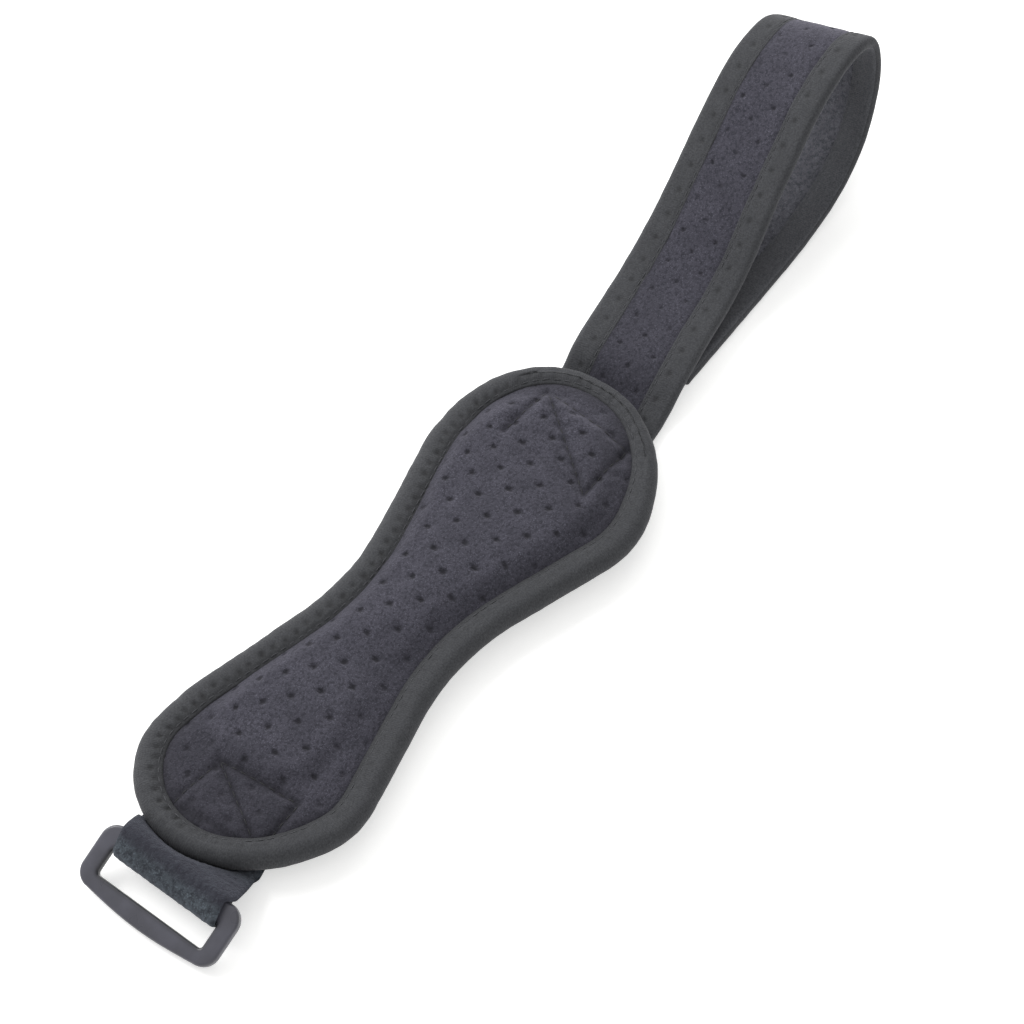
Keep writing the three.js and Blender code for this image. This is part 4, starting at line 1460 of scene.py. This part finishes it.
@dataclass
class HookPatch:
    """The fastening patch on the strap's free end, hidden under the front run."""

    wardrobe: Wardrobe
    path: StrapPath = StrapPath()
    length: float = 21.0
    width: float = 29.0
    inset: float = 4.0  # from the free end
    corner: float = 3.0
    edge_round: float = 0.5

    def build(self) -> bpy.types.Object:
        """Makes the patch as a thin plate with round corners.

        Returns:
            The finished patch.
        """
        path, corner, turn = self.path, self.corner, self.edge_round
        round_in = corner * (1 - np.cos(np.linspace(0, math.pi / 2, 8)))
        middle = np.linspace(corner, self.length - corner, 14)[1:-1]
        spots = np.concatenate([round_in, middle, self.length - round_in[::-1]])
        frames = path.frames(0.5)
        frames = frames.at(frames.length[-1] - self.inset - self.length + spots)
        tip = corner - np.minimum(np.minimum(spots, self.length - spots), corner)
        half = self.width / 2 - corner + np.sqrt(corner**2 - tip**2)
        angles = np.radians([k * 90 + a for k in range(4) for a in (0, 30, 60, 90)])
        flank = np.repeat([1, -1, -1, 1], 4)
        face = np.repeat([1, 1, -1, -1], 4)
        level = -(path.thick / 2 + path.gap + path.patch_thick / 2)
        side = flank * (half[:, None] - turn) + turn * np.cos(angles)
        up = np.tile(level + face * (path.patch_thick / 2 - turn) + turn * np.sin(angles), (len(spots), 1))
        points = frames.place(side, up)
        shell = Shell(points.reshape(-1, 3), swept(points))
        made = facing_out(shell.build("hook_tape_patch", [self.wardrobe.hooks]))
        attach(made, "root")
        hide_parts("hook_patch")
        return made


# The buckle and its tape


@dataclass(frozen=True)
class BuckleShape:
    """The ring's sizes and lean, as in its solid, but for the tape's bar, which is 1 mm wider here."""

    slot_length: float = 40.5
    slot_width: float = 9.1
    free_bar: float = 6.4
    tape_bar: float = 6.9
    side_bar: float = 5.8
    thick: float = 3.2
    bow: float = 1.6
    corner: float = 5.5
    slot_corner: float = 1.2
    tilt: float = 27.0
    standoff: float = 24.8
    shift: float = -4.6
    buckle_end: float = 64.4 + 36.7 * 1.049
    surface: float = -4.5

    @property
    def length(self) -> float:
        """The ring's own length, from the free bar to the tape's bar."""
        return self.free_bar + self.slot_width + self.tape_bar

    def along(self, points: np.ndarray) -> np.ndarray:
        """How far each point lies from the free bar's outer edge, along the ring's plane.

        Args:
            points: Rows of x, y and z.

        Returns:
            One distance for each point, more than 0 toward the pad.
        """
        root = self.place(np.array(0.0), np.array(0.0), np.array(0.0))
        lean = math.radians(self.tilt)
        return (points[:, 0] - root[0]) * math.cos(lean) + (points[:, 2] - root[2]) * math.sin(lean)

    def place(self, u: np.ndarray, v: np.ndarray, n: np.ndarray) -> np.ndarray:
        """Turns the ring's own places into the frame's.

        Args:
            u: Distance from the free bar's outer edge toward the pad.
            v: Distance sideways.
            n: Distance square to the ring.

        Returns:
            Rows of x, y and z.
        """
        lean = math.radians(self.tilt)
        root_x = -(self.buckle_end + self.standoff)
        root_z = self.surface + self.thick / 2 * math.cos(lean)
        x = root_x + u * math.cos(lean) - n * math.sin(lean)
        z = root_z + u * math.sin(lean) + n * math.cos(lean)
        return np.stack([x, v + self.shift, z], -1)


@dataclass
class Buckle:
    """The moulded ring, with full rounded bars."""

    wardrobe: Wardrobe
    shape: BuckleShape = BuckleShape()
    edge_round: float = 0.9
    crown: float = 0.05  # each face bulges by this
    drop: float = 0.06  # the whole ring lies this much lower, square to its plane
    # The slot's edge carries painted shade
    shade_run: float = 0.9  # the slot's edge is dark over this distance

    def loop(self, low: tuple, high: tuple, radius: float, bow: float, count: int) -> np.ndarray:
        """A rounded box's outline, with matching points on every such loop.

        Args:
            low: The lowest u and v.
            high: The highest u and v.
            radius: The corners' radius.
            bow: How far the free bar's side bulges.
            count: Points on each side and each corner.

        Returns:
            Rows of u and v, anticlockwise.
        """
        middles = [
            (high[0] - radius, low[1] + radius, -90), (high[0] - radius, high[1] - radius, 0),
            (low[0] + radius, high[1] - radius, 90), (low[0] + radius, low[1] + radius, 180),
        ]
        points = []
        for u, v, first in middles:
            sweep = np.radians(np.linspace(first, first + 90, count))
            points.append(np.stack([u + radius * np.cos(sweep), v + radius * np.sin(sweep)], 1))
        rows = []
        for k, corner in enumerate(points):
            after = points[(k + 1) % 4]
            share = np.linspace(0, 1, count * 2)[1:-1, None]
            straight = corner[-1] + (after[0] - corner[-1]) * share
            if k == 2:
                straight[:, 0] -= bow * np.sin(math.pi * share[:, 0])
            rows += [corner, straight]
        return np.concatenate(rows)

    def build(self) -> bpy.types.Object:
        """Makes the ring by carrying a rounded section round between its slot and its outer edge.

        Returns:
            The finished ring.
        """
        shape = self.shape
        half = shape.slot_length / 2
        low, high = (shape.bow, -half - shape.side_bar), (shape.length, half + shape.side_bar)
        outer = self.loop(low, high, shape.corner, shape.bow, 12)
        slot_end = shape.free_bar + shape.slot_width
        inner = self.loop((shape.free_bar, -half), (slot_end, half), shape.slot_corner, 0.0, 12)
        width = np.linalg.norm(outer - inner, axis=1)
        sweep = np.linspace(0, math.pi / 2, 7)
        turn, half = self.edge_round, shape.thick / 2
        depth = turn * (1 - np.cos(sweep))
        rise = half - turn + turn * np.sin(sweep)
        inward = np.linspace(0, 1, 9)[1:-1]
        crown = self.crown * np.sin(math.pi * inward)
        near, far = np.tile(depth, (len(width), 1)), width[:, None] - depth[::-1]
        middle = turn + (width - 2 * turn)[:, None] * inward
        reach = np.concatenate([near, middle, far], 1)
        top = np.concatenate([rise, half + crown, rise[::-1]])
        reach = np.concatenate([reach, reach[:, ::-1]], 1) / width[:, None]
        rise = np.broadcast_to(np.concatenate([top, -top[::-1]]) - self.drop, reach.shape)
        flat = inner[:, None, :] * (1 - reach)[..., None] + outer[:, None, :] * reach[..., None]
        points = shape.place(flat[..., 0], flat[..., 1], rise)
        # Painted shade along the slot's edges
        shade = np.exp(-((reach * width[:, None] / self.shade_run) ** 2))
        shell = Shell(points.reshape(-1, 3), grid_faces(*flat.shape[:2], True, True), shade=shade.ravel())
        made = facing_out(shell.build("ring_buckle", [self.wardrobe.plastic]))
        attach(made, "root")
        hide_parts("buckle")
        return made


@dataclass
class BuckleTape:
    """The loop tape folded round the ring's bar and sewn under the pad.

    It is 1 mm wider than its solid, turns a little less sideways, and flares at the ring.
    """

    wardrobe: Wardrobe
    shape: BuckleShape = BuckleShape()
    width: float = 39.6
    thick: float = 1.7
    sewn: float = 38.0
    turn: float = 0.2
    flare: float = 2.8  # the right edge spreads by this as it leaves the ring
    taper: float = 1.4  # and draws in again by this at the pad
    ease: float = 14.0
    pull: float = 6.0
    lift: float = 2.6
    gap: float = 0.3
    edge_round: float = 0.9
    columns: int = 56  # points across each face

    def line(self) -> np.ndarray:
        """The tape's middle line: in under the pad, up and round the ring's bar, and back.

        Returns:
            Rows of x, y and z at even steps.
        """
        shape, half = self.shape, self.thick / 2
        standoff = 1.5 * self.gap + half
        clear = shape.thick / 2 + standoff
        slot_end = shape.free_bar + shape.slot_width
        upper, lower = -self.gap - half, shape.surface + half
        end = -shape.buckle_end

        def ring(u: float, n: float) -> np.ndarray:
            """A place on the ring's own plane, without its sideways shift."""
            spot = shape.place(np.array(u), np.array(0.0), np.array(n))
            return np.array([spot[0], spot[2]])

        def curve(ends: list) -> np.ndarray:
            """A smooth curve drawn by four points.

            Args:
                ends: The four points.

            Returns:
                Rows along the curve.
            """
            a, b, c, d = (np.array(point) for point in ends)
            t = np.linspace(0, 1, 40)[:, None]
            return a * (1 - t) ** 3 + 3 * b * t * (1 - t) ** 2 + 3 * c * t**2 * (1 - t) + d * t**3

        def bend(side: int) -> np.ndarray:
            """The quarter turn round one edge of the bar.

            Args:
                side: 1 for the edge on the ring's front and -1 for the one on its back.

            Returns:
                Rows along the turn.
            """
            angles = np.linspace(math.pi / 2, math.pi, 12)
            reach = self.edge_round + standoff
            return np.array([
                ring(
                    slot_end + self.edge_round + reach * math.cos(a),
                    side * (shape.thick / 2 - self.edge_round + reach * math.sin(a)),
                )
                for a in angles
            ])

        climb = curve([
            (self.ease + end, upper), (self.pull + end, upper),
            ring(shape.length + self.lift, clear), ring(shape.length - self.edge_round, clear),
        ])
        fall = curve([
            ring(slot_end + shape.tape_bar / 2, -clear), ring(slot_end + shape.tape_bar, -clear),
            (end - 2.0, lower), (3.0 + end, lower),
        ])
        start = [(self.sewn + end, upper)]
        flat = np.concatenate([start, climb, bend(1), bend(-1)[::-1], fall, [(self.sewn + end, lower)]])
        lengths = np.concatenate([[0], np.cumsum(np.hypot(*np.diff(flat, axis=0).T))])
        wanted = np.linspace(0, lengths[-1], int(lengths[-1] / 0.45))
        x, z = (np.interp(wanted, lengths, flat[:, k]) for k in (0, 1))
        slot_x = ring(slot_end, 0.0)[0]
        return np.column_stack([x, shape.shift + (x - slot_x) * self.turn, z])

    def pressed(self, points: np.ndarray) -> np.ndarray:
        """How far the pad's rounded edge presses the tape's upper run down.

        Args:
            points: The run's points.

        Returns:
            A drop for each point.
        """
        plan = PadPlan()
        rim = plan.edge_thick / 2
        clear = rim + self.thick / 2 + 0.2
        depth = edge_distance(points[:, :2], plan.outline(2.0)[:, :2])
        reach = rim - depth
        under = rim - np.sqrt(np.clip(clear**2 - np.clip(reach, 0, clear) ** 2, 0, None))
        outside = rim + 1.7 * (reach - clear)
        limit = np.where(reach > clear, outside, under)
        soft = 0.5
        return soft * np.logaddexp(0, (points[:, 2] - limit) / soft)

    def build(self) -> bpy.types.Object:
        """Makes the tape as one closed sweep with a soft, slightly wavy pile.

        Returns:
            The finished tape.
        """
        line = self.line()
        along = np.gradient(line[:, [0, 2]], axis=0)
        along /= np.linalg.norm(along, axis=1)[:, None]
        out = np.stack([along[:, 1], np.zeros(len(along)), -along[:, 0]], 1)
        columns = self.columns
        sides = np.linspace(1, -1, columns)
        round_off = np.sqrt(np.clip(1 - np.abs(sides) ** 26, 0, 1))
        side = np.concatenate([sides, sides[::-1]]) * self.width / 2
        up = np.concatenate([round_off, -round_off]) * self.thick / 2
        rows = len(line)
        lengths = np.concatenate([[0], np.cumsum(np.linalg.norm(np.diff(line, axis=0), axis=1))])
        along_each = np.broadcast_to(lengths[:, None], (rows, 2 * columns))
        flat = np.stack([along_each, np.tile(side, (rows, 1))], -1).reshape(-1, 2)
        pile = (0.09 * ripple(flat, 2.6, 51) + 0.06 * ripple(flat, 1.5, 52)).reshape(rows, -1)
        heights = np.tile(up, (rows, 1)) + np.sign(up)[None, :] * (pile - 0.12)
        middle = np.repeat(line[:, None, :], 2 * columns, 1)
        past = self.shape.along(line) - self.shape.length
        upper = np.arange(rows) < int(np.argmin(line[:, 0]))
        spread = self.flare * eased(past, np.where(upper, -0.8, 2), np.where(upper, 1.6, 9))
        spread -= self.taper * eased(past, 2, 12)
        middle[..., 1] += side - spread[:, None] * np.clip(-side / (self.width / 2), 0, 1) ** 2
        # Painted shade over the crest past the ring's bar and the first of the fall toward the pad
        shade = eased(past, -5, -1) * (1 - eased(past, 4, 9))
        crest = int(np.argmax(line[:, 2]))
        upper = middle[:crest].reshape(-1, 3)
        sewn = -self.gap - self.thick / 2
        drop = np.minimum(self.pressed(upper), np.maximum(upper[:, 2] - sewn, 0))
        middle[:crest, :, 2] -= drop.reshape(crest, -1)
        turned = int(np.argmin(line[:, 0]))
        lower_x = line[turned:, 0]
        closed = eased(lower_x, line[crest, 0] + 1.5, line[crest, 0] + 6.0)
        for column in range(2 * columns):
            roof = np.interp(lower_x, line[:crest, 0][::-1], middle[:crest, column, 2][::-1])
            middle[turned:, column, 2] += (roof - self.thick - 0.1 - middle[turned:, column, 2]) * closed
        points = middle + out[:, None, :] * heights[..., None]
        shades = np.repeat(shade, 2 * columns)
        shell = Shell(points.reshape(-1, 3), swept(points), flat, shades)
        made = facing_out(shell.build("loop_tape", [self.wardrobe.pile]))
        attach(made, "root")
        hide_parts("buckle_webbing")
        return made


# Sewing


@dataclass
class Stitching:
    """Every sewn row, as short lengths of thread laid along its line and joined in one mesh."""

    wardrobe: Wardrobe
    stitch: float = 2.7
    gap: float = 0.7
    radius: float = 0.16
    arch: float = 0.12  # each stitch rises by this in its middle
    sink: float = 0.08  # and lies this deep at its ends
    around: int = 6
    beads: int = 5
    points: list = field(default_factory=list)
    faces: list = field(default_factory=list)
    kinds: list = field(default_factory=list)
    count: int = 0

    def sew(self, line: np.ndarray, out: np.ndarray, kind: int = 0) -> None:
        """Sews one row of stitches.

        Args:
            line: The row's places.
            out: The way out of the cloth at each place.
            kind: The number of the thread's finish.
        """
        lengths = np.concatenate([[0], np.cumsum(np.linalg.norm(np.diff(line, axis=0), axis=1))])
        step = self.stitch + self.gap
        for start in np.arange(0.4, lengths[-1] - self.stitch, step):
            wanted = start + np.linspace(0, self.stitch, self.beads)
            middle = np.column_stack([np.interp(wanted, lengths, line[:, k]) for k in range(3)])
            up = np.column_stack([np.interp(wanted, lengths, out[:, k]) for k in range(3)])
            share = np.linspace(0, 1, self.beads)
            middle += up * (self.arch * np.sin(math.pi * share) - self.sink)[:, None]
            along = np.gradient(middle, axis=0)
            along /= np.linalg.norm(along, axis=1)[:, None]
            side = np.cross(along, up)
            side /= np.linalg.norm(side, axis=1)[:, None]
            lift = np.cross(side, along)
            thick = self.radius * np.sqrt(np.clip(1 - (2 * share - 1) ** 4, 0.12, 1))
            angles = np.linspace(0, 2 * math.pi, self.around, endpoint=False)
            ring = (
                middle[:, None, :]
                + side[:, None, :] * (thick[:, None] * np.cos(angles))[..., None]
                + lift[:, None, :] * (thick[:, None] * np.sin(angles))[..., None]
            )
            faces = swept(ring)
            self.faces += [[k + self.count for k in face] for face in faces]
            self.kinds += [kind] * len(faces)
            self.points.append(ring.reshape(-1, 3))
            self.count += self.beads * self.around

    def sew_boxes(self, cushion: bpy.types.Object) -> None:
        """Sews the boxes on the pad, laid on the cushion's own front.

        Args:
            cushion: The finished cushion.
        """
        for box in (BUCKLE_BOX, STRAP_BOX):
            for (start, end), pull in zip(box.lines(), box.pulls):
                if pull < box.shown:
                    continue
                length = float(np.linalg.norm(end - start))
                share = np.linspace(0, 1, max(int(length / 0.6), 2))[:, None]
                flat = start + (end - start) * share
                line, out = [], []
                for x, y in flat:
                    above = Vector((x * MM, y * MM, 50 * MM))
                    hit, spot, normal, _ = cushion.ray_cast(above, Vector((0, 0, -1)))
                    if hit:
                        line.append(np.array(spot) / MM)
                        out.append(np.array(normal))
                if len(line) > 4:
                    self.sew(np.array(line), np.array(out))

    def build(self) -> bpy.types.Object:
        """Makes all the thread as one piece.

        Returns:
            The finished thread.
        """
        shell = Shell(np.concatenate(self.points), self.faces, second=self.kinds)
        made = facing_out(shell.build("stitching", [self.wardrobe.thread, self.wardrobe.edge_thread]))
        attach(made, "root")
        return made


# The studio


@dataclass
class Studio:
    """The pale floor, the soft light and the camera at the photograph's angle."""

    wardrobe: Wardrobe
    surface: float = -4.5
    reach: float = 4000.0  # of the floor, each way
    target: tuple = (54.9, 1.1, -0.8)
    position: tuple = (-555.9, -488.6, 1159.9)
    lens: float = 158.5
    sensor: float = 36.0
    surround: float = 0.62  # strength of the even light

    def floor(self) -> None:
        """Lays a wide card under the support."""
        reach = self.reach
        corners = np.array([(-reach, -reach), (reach, -reach), (reach, reach), (-reach, reach)])
        points = np.column_stack([corners, np.full(4, self.surface - 0.05)])
        made = Shell(points, [[0, 1, 2, 3]]).build("floor", [self.wardrobe.card])

    def lamp(self, name: str, place: tuple, size: float, power: float) -> None:
        """Hangs one soft square light that faces the support.

        Args:
            name: The light's name.
            place: Where it hangs, in millimetres.
            size: The length of its side in metres.
            power: Its power in watts.
        """
        light = bpy.data.lights.new(name, "AREA")
        light.size = size
        light.energy = power
        made = bpy.data.objects.new(name, light)
        made.location = Vector(place) * MM
        made.rotation_euler = (Vector(self.target) * MM - made.location).to_track_quat("-Z", "Y").to_euler()
        bpy.context.scene.collection.objects.link(made)

    def light(self) -> None:
        """Lights the set: an even pale surround and a soft key from the photograph's upper left."""
        world = bpy.data.worlds.new("studio")
        bpy.context.scene.world = world
        world.use_nodes = True
        background = world.node_tree.nodes["Background"]
        background.inputs["Color"].default_value = linear("#ffffff")
        background.inputs["Strength"].default_value = self.surround
        self.lamp("key", (-60, 1150, 950), 0.9, 17.5)
        self.lamp("rim", (1000, 700, 700), 1.2, 8.0)
        self.lamp("fill", (-1150, -750, 420), 1.2, 2.0)
        bpy.context.scene.view_settings.view_transform = "Standard"

    def camera(self) -> None:
        """Sets the camera where the photograph was taken from."""
        lens = bpy.data.cameras.new("camera")
        lens.lens = self.lens
        lens.sensor_width = self.sensor
        lens.clip_start = 0.05
        made = bpy.data.objects.new("camera", lens)
        made.location = Vector(self.position) * MM
        made.rotation_euler = (Vector(self.target) * MM - made.location).to_track_quat("-Z", "Y").to_euler()
        bpy.context.scene.collection.objects.link(made)
        bpy.context.scene.camera = made


def main() -> None:
    """Builds every sub-assembly in order and reports each piece."""
    logging.basicConfig(level=logging.INFO, format="%(name)s: %(message)s")
    wardrobe = Wardrobe()
    studio = Studio(wardrobe)
    studio.camera()
    studio.light()
    studio.floor()
    cushion = PadCushion(wardrobe).build()
    binding = PadBinding(wardrobe)
    panel = StrapPanel(wardrobe).build()
    edges = [StrapBinding(wardrobe, side) for side in Side]
    pieces = [cushion, binding.build(), panel, *(edge.build() for edge in edges)]
    pieces += [HookPatch(wardrobe).build(), BuckleTape(wardrobe).build(), Buckle(wardrobe).build()]
    sewing = Stitching(wardrobe)
    for edge in (binding, *edges):
        sewing.sew(*edge.stitch_line(), kind=1)
    sewing.sew_boxes(cushion)
    pieces.append(sewing.build())
    for piece in pieces:
        triangles = sum(len(face.vertices) - 2 for face in piece.data.polygons)
        log.info("%s: %d triangles", piece.name, triangles)


if __name__ == "__main__":
    main()
